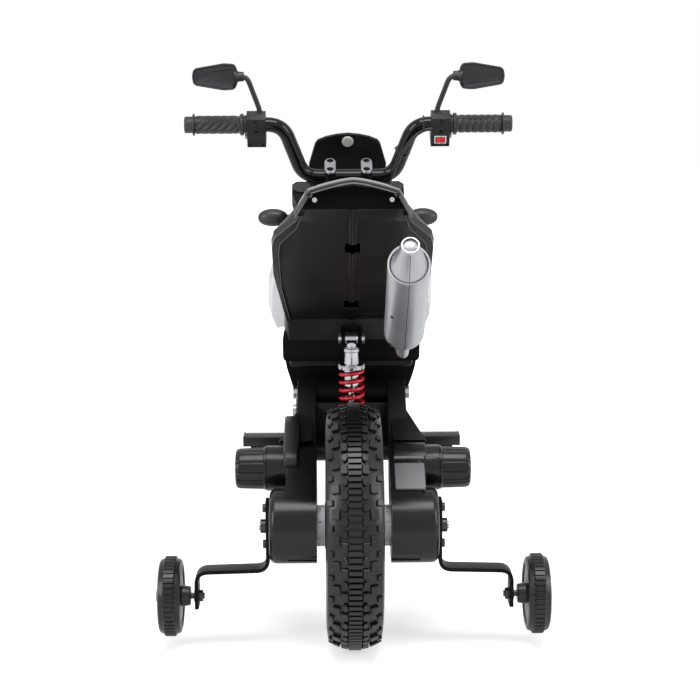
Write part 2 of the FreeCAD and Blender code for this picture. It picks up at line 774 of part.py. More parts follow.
def frame_shape():
    rake = float(S.rake)
    head = V(0, float(HEAD[1]), float(HEAD[2]))
    up = V(0, -math.sin(math.radians(rake)), math.cos(math.radians(rake)))
    tube = Part.makeCylinder(float(bush_r) + 4, head_top - head_low, head + up * head_low, up)
    bore = Part.makeCylinder(float(bush_r), head_top - head_low + 2, head + up * (head_low - 1), up)
    pivot = (float(at_y(S.pivot_station)), float(S.pivot_height))
    half = float(S.pivot_tube_half)
    mid = head + up * ((head_low + head_top) / 2)
    knee = V(0, pivot[0] + 52, pivot[1] + 96)
    spine = pipe([(0, mid.y, mid.z), (0, knee.y, knee.z), (0, pivot[0] + 4, pivot[1])], 40, 13)
    tower_top = float(S.shock_top_height)
    tower_y = float(at_y(S.shock_top_station))
    root = knee + (mid - knee) * 0.1
    stay = pipe([(0, root.y, root.z), (0, tower_y + 22, tower_top + 2)], 10, 8)
    cross = Part.makeCylinder(20, 2 * half, V(-half, pivot[0], pivot[1]), V(1, 0, 0))
    bar_y = float(at_y(S.pivot_station)) - 18
    bar_z = float(S.peg_height) - 20
    reach = float(S.peg_start) + float(S.peg_length) - 3
    bar = Part.makeCylinder(6, 2 * reach, V(-reach, bar_y, bar_z), V(1, 0, 0))
    whole = tube.fuse(spine).fuse(stay).fuse(cross).fuse(bar)
    for side in (-1, 1):
        plate = hull_slab(pivot, 14, (bar_y, bar_z), 8, side * 24, side * 29)
        lug = hull_slab((tower_y, tower_top), 9, (tower_y + 26, tower_top + 2), 12, side * 9, side * 14)
        whole = whole.fuse(plate).fuse(lug)
    tie = Part.makeBox(28, 14, 24, V(-14, tower_y + 18, tower_top - 10))
    whole = whole.fuse(tie)
    for tool in (
        bore,
        Part.makeCylinder(float(S.axle_radius), 200, V(-100, pivot[0], pivot[1]), V(1, 0, 0)),
        Part.makeCylinder(4, 60, V(-30, tower_y, tower_top), V(1, 0, 0)),
    ):
        whole = whole.cut(tool)
    return whole.removeSplitter()


frame_form = form(frame_shape())
node("main_frame", frame_form)

arm_out = S.pivot_tube_half + S.arm_thickness + 0.8
pivot_bolt = fuse(
    cylinder(S.axle_radius, arm_out * 2 + 12, (-arm_out - 6, at_y(S.pivot_station), S.pivot_height)),
    cylinder(9, 6, (arm_out, at_y(S.pivot_station), S.pivot_height)),
    cylinder(9, 6, (-arm_out - 6, at_y(S.pivot_station), S.pivot_height)),
)
shock_bolt = fuse(
    cylinder(4, 36, (-18, at_y(S.shock_top_station), S.shock_top_height)),
    cylinder(7, 4, (14, at_y(S.shock_top_station), S.shock_top_height)),
    cylinder(7, 4, (-18, at_y(S.shock_top_station), S.shock_top_height)),
)

bush_top = cut(fuse(cylinder(bush_r, 20, (0, 0, head_top - 20), "z"),
                    cylinder(bush_r + 4, 4, (0, 0, head_top), "z")),
               cylinder(S.stem_radius + 0.05, 80, (0, 0, head_top - 40), "z"))
bush_low = cut(fuse(cylinder(bush_r, 20, (0, 0, head_low), "z"),
                    cylinder(bush_r + 4, 4, (0, 0, head_low - 4), "z")),
               cylinder(S.stem_radius + 0.05, 80, (0, 0, head_low - 40), "z"))
node("head_bushes", steered(group(bush_top, bush_low)))

# Footpegs with a toothed tread
peg_end = S.peg_start + S.peg_length
peg_y = at_y(S.pivot_station) - 18
peg_block = fuse(
    box((S.peg_start + 8, peg_y - 16, S.peg_height - 14), (peg_end, peg_y + 16, S.peg_height)),
    cylinder(10, 22, (S.peg_start, peg_y, S.peg_height - 20)),
    box((S.peg_start, peg_y - 9, S.peg_height - 18), (S.peg_start + 26, peg_y + 9, S.peg_height - 8)),
)
notches = [cylinder(6, S.peg_length + 30, (S.peg_start - 5, peg_y, S.peg_height - 20))]
for k in range(9):
    notches.append(box((S.peg_start + 12 + 6.4 * k, peg_y - 20, S.peg_height - 3.5),
                       (S.peg_start + 15.2 + 6.4 * k, peg_y + 20, S.peg_height + 5)))
peg = cut(peg_block, *notches)
node("footpegs", group(peg, mirrored(peg)))

# Body shells as ruled lofts through half sections
PANEL_TOP = (-86, 588.0)
PANEL_FOOT = (186, 403.0)
panel_fall = (PANEL_TOP[1] - PANEL_FOOT[1]) / (PANEL_FOOT[0] - PANEL_TOP[0])


def panel_z(station):
    return PANEL_TOP[1] - panel_fall * (station - PANEL_TOP[0])


STATIONS = [
    (-72, panel_z(-72), 58, 60, 583, 60, 588, 56, 592),
    (-60, panel_z(-60), 66.5, 68, 575, 66, 583, 58, 588),
    (-48, panel_z(-48), 70.5, 72, 567, 71, 577, 59, 583),
    (-14, panel_z(-14), 97.5, 99, 545, 84, 560, 61, 567),
    (5, panel_z(5), 101.5, 103, 532, 87, 549, 62, 556),
    (69, panel_z(69), 102, 103.5, 489, 91, 508, 64, 517),
    (186, panel_z(186), 88.5, 90, 410, 92, 440, 66, 470),
    (204, 334, 84, 91, 352, 93, 388, 66, 469),
    (250, 324, 82, 91, 350, 93, 390, 66, 466),
    (257, 284, 80, 90, 330, 93, 390, 66, 465),
    (300, 238, 72, 88, 300, 92, 395, 66, 465),
    (405, 208, 64, 84, 280, 88, 400, 64, 470),
    (462, 222, 44, 58, 300, 60, 390, 48, 452),
]


STEP_ROWS = (7, 8, 9)
TRAY = (302, 386)
TRAY_TOP = 252.0


def section(row, inset):
    zb, wb, w1, z1, w2, z2, wt, zt = row[1:]
    d = inset
    return [(0, zb + d), (wb - d, zb + d), (w1 - d, z1), (w2 - d, z2), (wt - d, zt - d), (0, zt - d)]


def body_half():
    wall = float(S.body_wall)
    outer = ruled_loft([(float(at_y(row[0])), section(row, 0)) for row in STATIONS])
    inner_rows = []
    for index, row in enumerate(STATIONS):
        if index < 2:
            continue
        shift = 0.0
        if index == len(STATIONS) - 1:
            shift = -wall
        if index in STEP_ROWS:
            shift = wall
        corners = section(row, wall)
        corners[0] = (-1.0, corners[0][1])
        corners[-1] = (-1.0, corners[-1][1])
        inner_rows.append((float(at_y(row[0])) + shift, corners))
    hollow = ruled_loft(inner_rows)
    keep = Part.makeBox(200, 1400, 700, V(0, -700, 0))
    shell = outer.cut(hollow.common(Part.makeBox(201, 1400, 700, V(-1, -700, 0))))
    shell = shell.common(keep)
    for station in TRAY:
        rib = Part.makeBox(70, 4, TRAY_TOP - 200, V(0.2, float(at_y(station)), 200))
        shell = shell.fuse(rib.common(outer))
    return shell.removeSplitter()


RIM_OUTLINE = [
    (66.5, -60), (70.5, -48), (97.5, -14), (101.5, 5), (102, 69), (88.5, 186),
    (83.5, 186), (93.2, 100), (93.8, 24), (91.9, -1), (69.8, -33), (67.5, -44), (62.5, -60),
]
SEAM_OUTLINE = [(0, -70), (3.8, -70), (3.8, 186), (0, 186)]
RIM_HEIGHT = 3.5
SEAM_HEIGHT = 2.2
SLOTS = ((5, 26), (140, 158))
SLOT_HALF = 10.0


def on_panel(outline, low, high):
    away = V(0, -panel_fall, -1).normalize()
    corners = [V(x, float(at_y(station)), panel_z(station)) + away * low for x, station in outline]
    return Part.Face(Part.makePolygon(corners + [corners[0]])).extrude(away * (high - low))


def panel_trim(half):
    trimmed = half.fuse(on_panel(RIM_OUTLINE, -0.5, RIM_HEIGHT)).fuse(on_panel(SEAM_OUTLINE, -0.5, SEAM_HEIGHT))
    for start, end in SLOTS:
        outline = [(-1, start), (SLOT_HALF, start), (SLOT_HALF, end), (-1, end)]
        trimmed = trimmed.cut(on_panel(outline, -8, 8))
    return trimmed.removeSplitter()


half_shape = panel_trim(body_half()).cut(frame_form.Shape)
node("body_left", form(half_shape.mirror(V(0, 0, 0), V(1, 0, 0))))
socket_y = float(at_y(330))
socket_z = 352.0
socket_x = 89.5
socket_hole = disc(9.0, 60, 140)
socket_hole.translate(V(0, socket_y, socket_z))
node("body_right", form(half_shape.cut(socket_hole)))
socket_profile = [(socket_x - 11.5, 5.0), (socket_x - 11.5, 9), (socket_x, 9), (socket_x, 12),
                  (socket_x + 2, 12), (socket_x + 2, 5)]
node("charge_socket", cut(fuse(turned([(dim(a), dim(b)) for a, b in socket_profile],
                                      (0, at_y(330), socket_z)),
                               cylinder(9, 2, (socket_x - 13.5, at_y(330), socket_z))),
                          form(half_shape.cut(socket_hole))))

battery_low = TRAY_TOP
node("battery_pack", box((-52, at_y(295), battery_low), (52, at_y(398), battery_low + 80)))
board = box((-36, at_y(300), battery_low + 80), (36, at_y(385), battery_low + 100))
node("control_board", cut(board, form(frame_form.Shape.copy())))


def top_at(station):
    for a, b in zip(STATIONS, STATIONS[1:]):
        if a[0] <= station <= b[0]:
            part = (station - a[0]) / (b[0] - a[0])
            return a[8] + part * (b[8] - a[8]), a[7] + part * (b[7] - a[7])
    return STATIONS[0][8], STATIONS[0][7]


def crown_rows(rows):
    out = []
    for station, rise, edge, wide in rows:
        low, half = top_at(station)
        half = half + wide
        out.append((float(at_y(station)), [
            (-half, low), (half, low), (half + 1, low + edge), (half * 0.82, low + edge + 0.6 * (rise - edge)),
            (half * 0.4, low + rise - 1), (-half * 0.4, low + rise - 1),
            (-half * 0.82, low + edge + 0.6 * (rise - edge)), (-half - 1, low + edge)]))
    return out


rise = float(S.seat_height)
seat_rows = [(5, 26, 8, 0), (25, 28, 9, 0), (55, 28, 10, 2), (120, rise - 2, 12, 4), (186, rise, 14, 6),
             (250, rise, 14, 4), (290, rise - 2, 13, 0), (318, rise + 6, 14, -4)]
body_fill = ruled_loft([(float(at_y(row[0])), section(row, 0)) for row in STATIONS])
body_block = body_fill.fuse(body_fill.mirror(V(0, 0, 0), V(1, 0, 0)))
seat_solid = ruled_loft(crown_rows(seat_rows)).cut(body_block).cut(frame_form.Shape)
node("seat", form(max(seat_solid.Solids, key=lambda part: part.Volume)))


ARCH = [(0, 610), (24, 607), (50, 600.5), (57, 596), (54, 593.5), (48, 597.5), (23, 604), (0, 607)]
ARCH_END = [(50, 600.5), (57, 596), (54, 593.5), (48, 597.5)]
CHEEK_FOOT = [(68, 578), (73, 572), (72, 561), (66, 570)]


def tail_shape():
    crown = ruled_loft(crown_rows([(-72, 18, 5, 1), (-25, 35, 12, 0), (5, 28, 9, 0)]))
    mirror = [(-x, z) for x, z in reversed(ARCH[1:-1])]
    arch = ARCH + mirror
    solid = crown.fuse(ruled_loft([(float(at_y(-100)), arch), (float(at_y(-64)), arch)]))
    cheek = ruled_loft([(float(at_y(-99)), ARCH_END), (float(at_y(-50)), CHEEK_FOOT)])
    solid = solid.fuse(cheek).fuse(cheek.mirror(V(0, 0, 0), V(1, 0, 0)))
    solid = solid.cut(body_block)
    return max(solid.removeSplitter().Solids, key=lambda part: part.Volume)


node("tail_cowl", form(tail_shape()))


def tank_shape():
    tall = float(S.tank_height)
    rows = [(318, 36, 14, -4), (340, 0.8 * tall, 30, 4), (375, tall, 34, 8), (405, tall - 4, 32, 2),
            (425, tall - 22, 30, 0)]
    outer = ruled_loft(crown_rows(rows))
    wall = float(S.body_wall)
    room = []
    for station, high, edge, wide in rows:
        low, half = top_at(station)
        half = half + wide - wall
        shift = wall if station == rows[0][0] else (-wall if station == rows[-1][0] else 0)
        room.append((float(at_y(station)) + shift, [
            (-half, low - 1), (half, low - 1), (half, low + edge - 2),
            (half * 0.8, low + edge + 0.55 * (high - edge) - 3),
            (-half * 0.8, low + edge + 0.55 * (high - edge) - 3), (-half, low + edge - 2)]))
    return outer.cut(ruled_loft(room))


node("tank_cover", form(tank_shape().cut(frame_form.Shape)))


SHROUD = [
    (252, [(90, 384), (104, 380), (112, 400), (110, 440), (100, 470), (90, 470), (88, 462), (90, 440)]),
    (300, [(90, 384), (112, 384), (118, 410), (117, 450), (100, 500), (64, 500), (64, 466), (88, 440)]),
    (395, [(86, 396), (110, 400), (116, 425), (114, 460), (96, 505), (64, 505), (64, 470), (84, 440)]),
    (440, [(70, 420), (92, 424), (98, 440), (96, 462), (86, 490), (62, 490), (62, 462), (66, 440)]),
]


def shroud_shape():
    wall = float(S.body_wall)
    moves = [(-6, wall), (-wall, wall), (-wall, 0), (-wall, 0), (-wall, -wall), (-6, -wall), (-6, 0), (-6, 0)]
    room = []
    for index, (station, points) in enumerate(SHROUD):
        shift = wall if index == 0 else (-wall if index == len(SHROUD) - 1 else 0)
        corners = [(x + dx, z + dz) for (x, z), (dx, dz) in zip(points, moves)]
        room.append((float(at_y(station)) + shift, corners))
    shroud = ruled_loft([(float(at_y(station)), points) for station, points in SHROUD])
    shroud = shroud.cut(ruled_loft(room)).cut(body_fill)
    for name in ("tank_cover", "seat"):
        shroud = shroud.cut(pieces[name].Shape)
    return max(shroud.Solids, key=lambda part: part.Volume)


shroud_form = form(shroud_shape())
node("tank_shrouds", group(shroud_form, mirrored(shroud_form)))

# Silencer on the right, rising to the rear
LOW_END = (40.0, 396.0)
RISE = 38.0
silencer_turn = 180 - RISE


def silenced(obj):
    aim = FreeCAD.Rotation(V(1, 0, 0), silencer_turn).multiply(FreeCAD.Rotation(V(0, 0, 1), 90))
    obj.Placement = FreeCAD.Placement(V(float(S.muffler_side), float(at_y(LOW_END[0])), LOW_END[1]), aim)
    obj.setExpression("Placement.Base.x", S.muffler_side.text)
    obj.setExpression("Placement.Base.y", at_y(LOW_END[0]).text)
    return obj


can_r = S.muffler_radius
can_l = S.muffler_length
can_profile = [
    (0, 0), (0, 11), (8, can_r - 9), (16, can_r - 3), (22, can_r - 0.5), (30, can_r), (can_l + 8, can_r),
    (can_l + 8, can_r - 2.5),
    (can_l - 30, can_r - 2.5), (can_l - 30, 0),
]
slash = box((0, 0, 0), (72, 120, 120))
place(slash, (can_l + 10.4, -60, -59.1), ((0, 1, 0), -10))
node("muffler_can", silenced(cut(turned(can_profile), slash)))
cone_profile = [
    (can_l - 30, 0), (can_l - 30, can_r - 2.5), (can_l - 18, can_r - 2.5), (can_l + 38, 11.2),
    (can_l + 44, 11.2), (can_l + 44, 9), (can_l + 42, 9), (can_l + 42, 0),
]
node("muffler_cone", silenced(turned(cone_profile)))


def exhaust_shape():
    x = float(S.muffler_side)
    y0 = float(at_y(LOW_END[0]))
    lean = math.radians(RISE)
    near = (x, y0 + 34 * math.cos(lean), LOW_END[1] - 34 * math.sin(lean))
    start = (x, y0, LOW_END[1])
    tube = pipe([start, near, (x, float(at_y(220)), near[2] - 4)], 26, 8)
    mid = (y0 - 62 * math.cos(lean), LOW_END[1] + 62 * math.sin(lean))
    strap = Part.makeBox(3, 22, 60, V(x - 1.5, -11, float(S.muffler_radius) - 0.05))
    strap.rotate(V(x, 0, 0), V(1, 0, 0), -RISE)
    strap.translate(V(0, mid[0], mid[1]))
    return tube.cut(body_fill), strap.cut(body_fill)


exhaust_tube, exhaust_strap = exhaust_shape()
exhaust_strap = max(exhaust_strap.Solids, key=lambda s: s.BoundBox.ZLength)
exhaust_form = form(Part.makeCompound([exhaust_tube, exhaust_strap]))
node("exhaust_pipe", exhaust_form)

# Steering assembly, built upright about its own axis and then leaned back
yoke_top = -22.0
yoke_low = -45.0
low_yoke_top = -140.0
low_yoke_low = -164.0
leg = S.fork_half
ear = leg + 15


def yoke_outline(front, back):
    return [(-ear, 22), (-leg, back - 8), (-24, back), (24, back), (leg, back - 8), (ear, 22), (ear, 48),
            (leg + 8, 56), (leg - 14, 56), (24, front), (-24, front), (-leg + 14, 56), (-leg - 8, 56), (-ear, 48)]


upper_blank = padded(yoke_outline(34, -22), yoke_top - yoke_low, (0, 0, yoke_low), "XY_Plane")
upper_holes = [cylinder(S.stem_radius, 60, (0, 0, -60), "z")]
for side in (-1, 1):
    upper_holes.append(cylinder(S.fork_tube_radius, 60, (leg * side, S.fork_offset, -60), "z"))
node("upper_yoke", steered(cut(upper_blank, *upper_holes)))
lower_blank = padded(yoke_outline(34, -22), low_yoke_top - low_yoke_low, (0, 0, low_yoke_low), "XY_Plane")
lower_holes = []
for side in (-1, 1):
    lower_holes.append(cylinder(S.fork_tube_radius, 60, (leg * side, S.fork_offset, -180), "z"))
lower_part = cut(lower_blank, *lower_holes)
node("steering_stem", steered(fuse(lower_part, cylinder(S.stem_radius, yoke_top - low_yoke_low,
                                                        (0, 0, low_yoke_low), "z"))))
fork_legs = []
for side in (-1, 1):
    upright = fuse(
        cylinder(S.fork_tube_radius, fork_drop - 20, (leg * side, S.fork_offset, -fork_drop), "z"),
        cylinder(S.slider_radius, 215, (leg * side, S.fork_offset, -fork_drop - 18), "z"),
        cylinder(S.slider_radius + 2, 10, (leg * side, S.fork_offset, -fork_drop + 190), "z"),
    )
    fork_legs.append(cut(upright, cylinder(6, 60, (leg * side - 30, S.fork_offset, -fork_drop))))
node("fork_legs", steered(group(*fork_legs)))
collar = leg - S.slider_radius
front_axle = fuse(
    cylinder(S.axle_radius, (collar + 2) * 2, (-collar - 2, S.fork_offset, -fork_drop)),
    cylinder(6, S.slider_radius * 2 + 6, (collar, S.fork_offset, -fork_drop)),
    cylinder(6, S.slider_radius * 2 + 6, (-collar - S.slider_radius * 2 - 6, S.fork_offset, -fork_drop)),
    cylinder(10, collar - S.hub_half - 0.3, (S.hub_half + 0.3, S.fork_offset, -fork_drop)),
    cylinder(10, collar - S.hub_half - 0.3, (-collar, S.fork_offset, -fork_drop)),
    cylinder(10, 6, (leg + S.slider_radius, S.fork_offset, -fork_drop)),
    cylinder(10, 6, (-leg - S.slider_radius - 6, S.fork_offset, -fork_drop)),
)
node("front_axle", steered(front_axle))


def guard_shape():
    axle_r = float(S.tyre_radius)
    off = float(S.fork_offset)
    drop = float(fork_drop)
    inner = axle_r + 9
    pts = [V(-44, inner - 12, 0), V(-36, inner, 0), V(0, inner + 5, 0), V(36, inner, 0), V(44, inner - 12, 0),
           V(46, inner - 12, 0), V(38, inner + 3, 0), V(0, inner + 8, 0), V(-38, inner + 3, 0),
           V(-46, inner - 12, 0)]
    face = Part.Face(Part.makePolygon(pts + [pts[0]]))
    arch = face.revolve(V(0, 0, 0), V(1, 0, 0), 118)
    arch.rotate(V(0, 0, 0), V(1, 0, 0), 10)
    arch.translate(V(0, off, -drop))
    tabs = []
    reach = float(leg) - float(S.fork_tube_radius)
    for side in (-1, 1):
        x1 = min(side * 43.5, side * (reach + 6))
        tab = Part.makeBox(reach + 6 - 43.5, 22, 12, V(x1, off - 11, -drop + inner - 8))
        rod = Part.makeCylinder(float(S.fork_tube_radius), 400,
                                V(side * float(leg), off, -drop), V(0, 0, 1))
        tabs.append(tab.cut(rod))
    return arch.fuse(tabs[0]).fuse(tabs[1]).removeSplitter()


def rod_cut(shape):
    big = float(S.slider_radius) + 2
    for side in (-1, 1):
        x = side * float(leg)
        sleeve = Part.makeCylinder(big, 10, V(x, float(S.fork_offset), -float(fork_drop) + 190), V(0, 0, 1))
        lower = Part.makeCylinder(float(S.slider_radius), 215,
                                  V(x, float(S.fork_offset), -float(fork_drop) - 18), V(0, 0, 1))
        shape = shape.cut(sleeve).cut(lower)
    return shape


node("front_mudguard", steered(form(rod_cut(guard_shape()))))

# Handlebar and what it carries
bar_low = S.bar_centre
bar_top = S.bar_centre + S.bar_rise
BAR_S = 7.0
bar_points = [(68, 0, 0.0), (98, BAR_S, 1.0)]
BAR_BEND = 30.0


def bar_path(offset, end):
    low = float(bar_low)
    rise_z = float(S.bar_rise)
    right = [(x, s + offset, low + rise_z * part) for x, s, part in bar_points]
    return right + [(end, BAR_S + offset, low + rise_z)]


def bar_shape():
    right = bar_path(0.0, float(S.bar_half))
    left = [(-x, s, t) for x, s, t in reversed(right)]
    return pipe(left + right, BAR_BEND, float(S.bar_radius))


bar_form = form(bar_shape())
node("handlebar", steered(bar_form))
clamps = []
bolts = []
for side in (-1, 1):
    x = side * 27.5
    block = fuse(box((x - 8.5, -14, yoke_top), (x + 8.5, 14, bar_low)),
                 box((x - 8.5, -19, bar_low - 13), (x + 8.5, 19, bar_low + 20)))
    clamps.append(cut(block, cylinder(S.bar_radius, 60, (x - 30, 0, bar_low))))
    for s in (-15, 15):
        head = cylinder(3.4, 4, (x, s, bar_low + 20), "z")
        bolts.append(cut(head, cylinder(1.6, 4, (x, s, bar_low + 22), "z")))
node("bar_clamps", steered(group(*clamps, *bolts)))

g0 = S.grip_start
g1 = S.bar_half


def grip_profile(side, bore):
    rad = S.grip_radius
    rows = [(g0, bore), (g0, rad + 2), (g0 + 4, rad - 0.5)]
    for k in range(7):
        a = g0 + 8 + 8.4 * k
        rows += [(a, rad - 1.2), (a + 1.2, rad), (a + 5.2, rad), (a + 6.4, rad - 1.2)]
    rows += [(g1 - 10, rad - 0.5), (g1 - 10, rad + 3), (g1 - 6, rad + 3), (g1 - 6, rad - 1), (g1 + 4, rad - 1),
             (g1 + 6, rad - 4), (g1 + 6, 0), (g1 + 0.3, 0), (g1 + 0.3, bore)]
    return rows


throttle = turned(grip_profile(1, S.bar_radius + 0.06), (0, 0, 0))
node("throttle_grip", throttle)
left_grip = turned(grip_profile(-1, S.bar_radius + 0.0), (0, 0, 0))
GRIP_LOCAL = (BAR_S, bar_top)
grip_y = HEAD[1] + GRIP_LOCAL[0] * slope_cos - GRIP_LOCAL[1] * slope_sin
grip_z = HEAD[2] + GRIP_LOCAL[0] * slope_sin + GRIP_LOCAL[1] * slope_cos
place(throttle, (0, grip_y, grip_z), ((1, 0, 0), S.rake))
place(left_grip, (0, grip_y, grip_z), ((1, 0, 0), S.rake))
node("grip_left", mirrored(left_grip))

box_outline = [
    (-14, -31), (16, -31), (18, -28), (18, -6), (14, 12), (6, 20), (-4, 21), (-12, 16), (-15, 6), (-15, -10),
    (-14, -12),
]
box_len = S.box_outer - S.box_inner


def switch_block():
    return padded([(dim(u), dim(v)) for u, v in box_outline], box_len, (S.box_inner, BAR_S, bar_top))


box_middle = (S.box_inner + S.box_outer) / 2
right_bore = cylinder(S.bar_radius, 80, (S.box_inner - 20, BAR_S, bar_top))
ROCK = (box_middle, BAR_S - 14, bar_top - 18.6)
rocker_room = box((ROCK[0] - 7.5, ROCK[1] - 3, ROCK[2] - 5.5), (ROCK[0] + 7.5, ROCK[1] + 8, ROCK[2] + 5.5))
side_room = cylinder(4.3, 9, (S.box_outer - 8, BAR_S + 2, bar_top - 22))
def screw_holes():
    holes = []
    for across, up, radius in ((0, 12, 2.2), (0, -4, 2.2), (-9.5, -27.5, 1.8), (9.5, -27.5, 1.8)):
        holes.append(cylinder(radius, 5, (box_middle + across, BAR_S - 16.5, bar_top + up), "y"))
    return holes


right_box = steered(cut(switch_block(), right_bore, rocker_room, side_room, *screw_holes()))
left_core = cut(switch_block(), right_bore, side_room, *screw_holes())
node("switch_boxes", group(right_box, mirrored(steered(left_core))))
bezel = cut(
    box((ROCK[0] - 9, ROCK[1] - 1.5, ROCK[2] - 6.4), (ROCK[0] + 9, ROCK[1], ROCK[2] + 6.4)),
    box((ROCK[0] - 7, ROCK[1] - 5, ROCK[2] - 5), (ROCK[0] + 7, ROCK[1] + 5, ROCK[2] + 5)),
)
node("rocker_bezel", steered(bezel))
rocker_profile = [(-6.2, -2.6), (0, -1.9), (6.2, -2.6), (6.2, 0.8), (3.5, 2.2), (-3.5, 2.2), (-6.2, 0.8)]
rocker = padded([(dim(u), dim(v)) for u, v in rocker_profile], 9.2,
                (ROCK[0], ROCK[1], ROCK[2] - 4.6), "XY_Plane")
node("start_rocker", steered(group(rocker)))


def side_button():
    profile = [(-6.0, 0.0), (-6.0, 4.0), (3.2, 4.0), (4.2, 3.0), (4.2, 0.0)]
    return turned([(dim(u), dim(v)) for u, v in profile], (S.box_outer, BAR_S + 2, bar_top - 22))


mode_form = side_button()
node("mode_button", steered(group(mode_form)))
horn_form = steered(group(side_button()))
node("horn_button", mirrored(horn_form))

BALL = (S.mirror_start - 3, BAR_S, bar_top + 82)


def stem_shape():
    x0 = float(S.box_inner) + 9
    s = BAR_S
    top = float(bar_top)
    bx, by, bz = [float(c) for c in BALL]
    rod = pipe([(x0, s, top + 19), (bx - 24, s, bz - 2), (bx, by, bz)], 12, 3.5)
    nut = Part.makeCylinder(6.5, 6, V(x0 + 0.4, s, top + 19.8), V(0, 0, 1))
    knob = Part.makeSphere(6, V(bx, by, bz))
    return rod.fuse(nut).fuse(knob).removeSplitter()


stem_solid = stem_shape()
switch_fill = [V(0, BAR_S + u, float(bar_top) + v) for u, v in box_outline]
switch_solid = Part.Face(Part.makePolygon(switch_fill + [switch_fill[0]])).extrude(V(float(box_len), 0, 0))
switch_solid.translate(V(float(S.box_inner), 0, 0))
stem_solid = stem_solid.cut(switch_solid)
stem_solid = max(stem_solid.Solids, key=lambda s: s.Volume)
stem_form = form(stem_solid)
node("mirror_stems", steered(group(stem_form, mirrored(stem_form))))

ml = S.mirror_length
ball_y = HEAD[1] + BALL[1] * slope_cos - BALL[2] * slope_sin
ball_z = HEAD[2] + BALL[1] * slope_sin + BALL[2] * slope_cos
HEAD_TILT = 4


def mirror_placed(obj):
    return place(obj, (BALL[0], ball_y, ball_z), ((1, 0, 0), HEAD_TILT))


head_outline = [
    (6, -8), (10, -13), (18, -18.5), (27, -19.5), (ml, -13), (ml + 4, -9), (ml + 4, 9), (ml, 13), (27, 19.5),
    (18, 18.5), (10, 13), (6, 8),
]
back_outline = [
    (10, -5), (14, -9), (20, -12), (28, -13), (ml - 6, -8), (ml - 3, -5), (ml - 3, 5), (ml - 6, 8), (28, 13),
    (20, 12), (14, 9), (10, 5),
]
glass_outline = [
    (9, -8), (19, -16), (27, -17), (ml - 1, -11), (ml + 1.5, -8),
    (ml + 1.5, 8), (ml - 1, 11), (27, 17), (19, 16), (9, 8),
]


def outline_solid(low, high, y0, y1):
    first = [V(float(u), y0, float(v)) for u, v in low]
    second = [V(float(u), y1, float(v)) for u, v in high]
    return Part.makeLoft([Part.makePolygon(first + [first[0]]), Part.makePolygon(second + [second[0]])],
                         True, True)


shell = padded(head_outline, 9, (0, 1, 0), "XZ_Plane")
hood = form(outline_solid(head_outline, back_outline, 1.0, 12.0))
recess = padded(glass_outline, 4, (0, -5.5, 0), "XZ_Plane")
boss = cylinder(8.5, 12, (-4, 0, 0))
head_right = mirror_placed(cut(fuse(shell, hood, boss), recess, ball(6.15, (0, 0, 0))))
node("mirror_right", head_right)
node("mirror_left", mirrored(head_right))
glass_right = mirror_placed(group(padded(glass_outline, 2, (0, -5.5, 0), "XZ_Plane")))
node("mirror_glass_right", glass_right)
node("mirror_glass_left", mirrored(glass_right))

# Headlight mask with its lamp, bezel and button
MASK_S = 92.0
BUTTON_UP = 30.0
mask_outline = [(0, 42), (18, 40), (34, 36), (47, 30), (51, 24), (61, -14), (56, -66), (34, -96), (0, -102),
                (-34, -96), (-56, -66), (-61, -14), (-51, 24), (-47, 30), (-34, 36), (-18, 40)]
mask_plate = padded([(dim(u), dim(v)) for u, v in mask_outline], 5, (0, MASK_S + 5, 0), "XZ_Plane")
lamp_z = -48.0
lamp_shell = turned([(dim(a), dim(b)) for a, b in
                     [(0, 0), (0, 36), (16, 44), (30, 44), (30, 40), (16, 40), (6, 34), (6, 0)]],
                    (0, MASK_S + 5, lamp_z), ((0, 0, 1), 90))
button_hole = cylinder(6.6, 30, (0, MASK_S - 10, BUTTON_UP), "y")
ear_blank = fuse(mask_plate, lamp_shell)
mask_arms = []
for side in (-1, 1):
    strut = box((leg * side - 4, S.fork_offset + 8, -62), (leg * side + 4, MASK_S - 14, -52))
    tip = box((side * 52 - 6 if side > 0 else -76, MASK_S - 18, -62), (76 if side > 0 else -46, MASK_S, -52))
    tube_room = cylinder(S.fork_tube_radius, 90, (leg * side, S.fork_offset, -100), "z")
    mask_arms.append(cut(fuse(strut, tip), tube_room))
node("headlight_mask", steered(fuse(cut(ear_blank, button_hole), *mask_arms)))
lens = turned([(dim(a), dim(b)) for a, b in [(18, 0), (18, 40), (26, 40), (30, 32), (33, 16), (33.5, 0)]],
              (0, MASK_S + 5, lamp_z), ((0, 0, 1), 90))
node("headlight_lens", steered(group(lens)))
plunger = turned([(dim(a), dim(b)) for a, b in [(-5, 0), (-5, 7.5), (-4, 9), (-2.4, 9), (-2.4, 6.2), (6, 6.2),
                                                (6, 0)]],
                 (0, MASK_S, BUTTON_UP), ((0, 0, 1), 90))
node("start_button", steered(group(plunger)))

signals = []
for side in (-1, 1):
    lamp = turned([(dim(a), dim(b)) for a, b in
                   [(-22, 0), (-20, 7), (-14, 11.5), (-5, 13.5), (6, 13), (15, 9.5), (20, 5), (21, 0)]],
                  (side * 117, S.fork_offset, -79))
    stalk = cylinder(4.5, 34, (side * 83 if side > 0 else -117, S.fork_offset, -79))
    signals.append(cut(fuse(lamp, stalk), cylinder(S.fork_tube_radius, 90,
                                                   (leg * side, S.fork_offset, -120), "z")))
node("front_indicators", steered(group(*signals)))


def cable_shape():
    gap = float(S.bar_radius) + 2.9
    low = float(bar_low)
    pts = bar_path(-gap, float(S.box_inner) + 2)
    pts = list(reversed(pts))
    pts = pts[:-1] + [(60, -gap, low - 6), (52, -gap - 2, yoke_top - 1)]
    return pipe(pts, 12, 2.5)


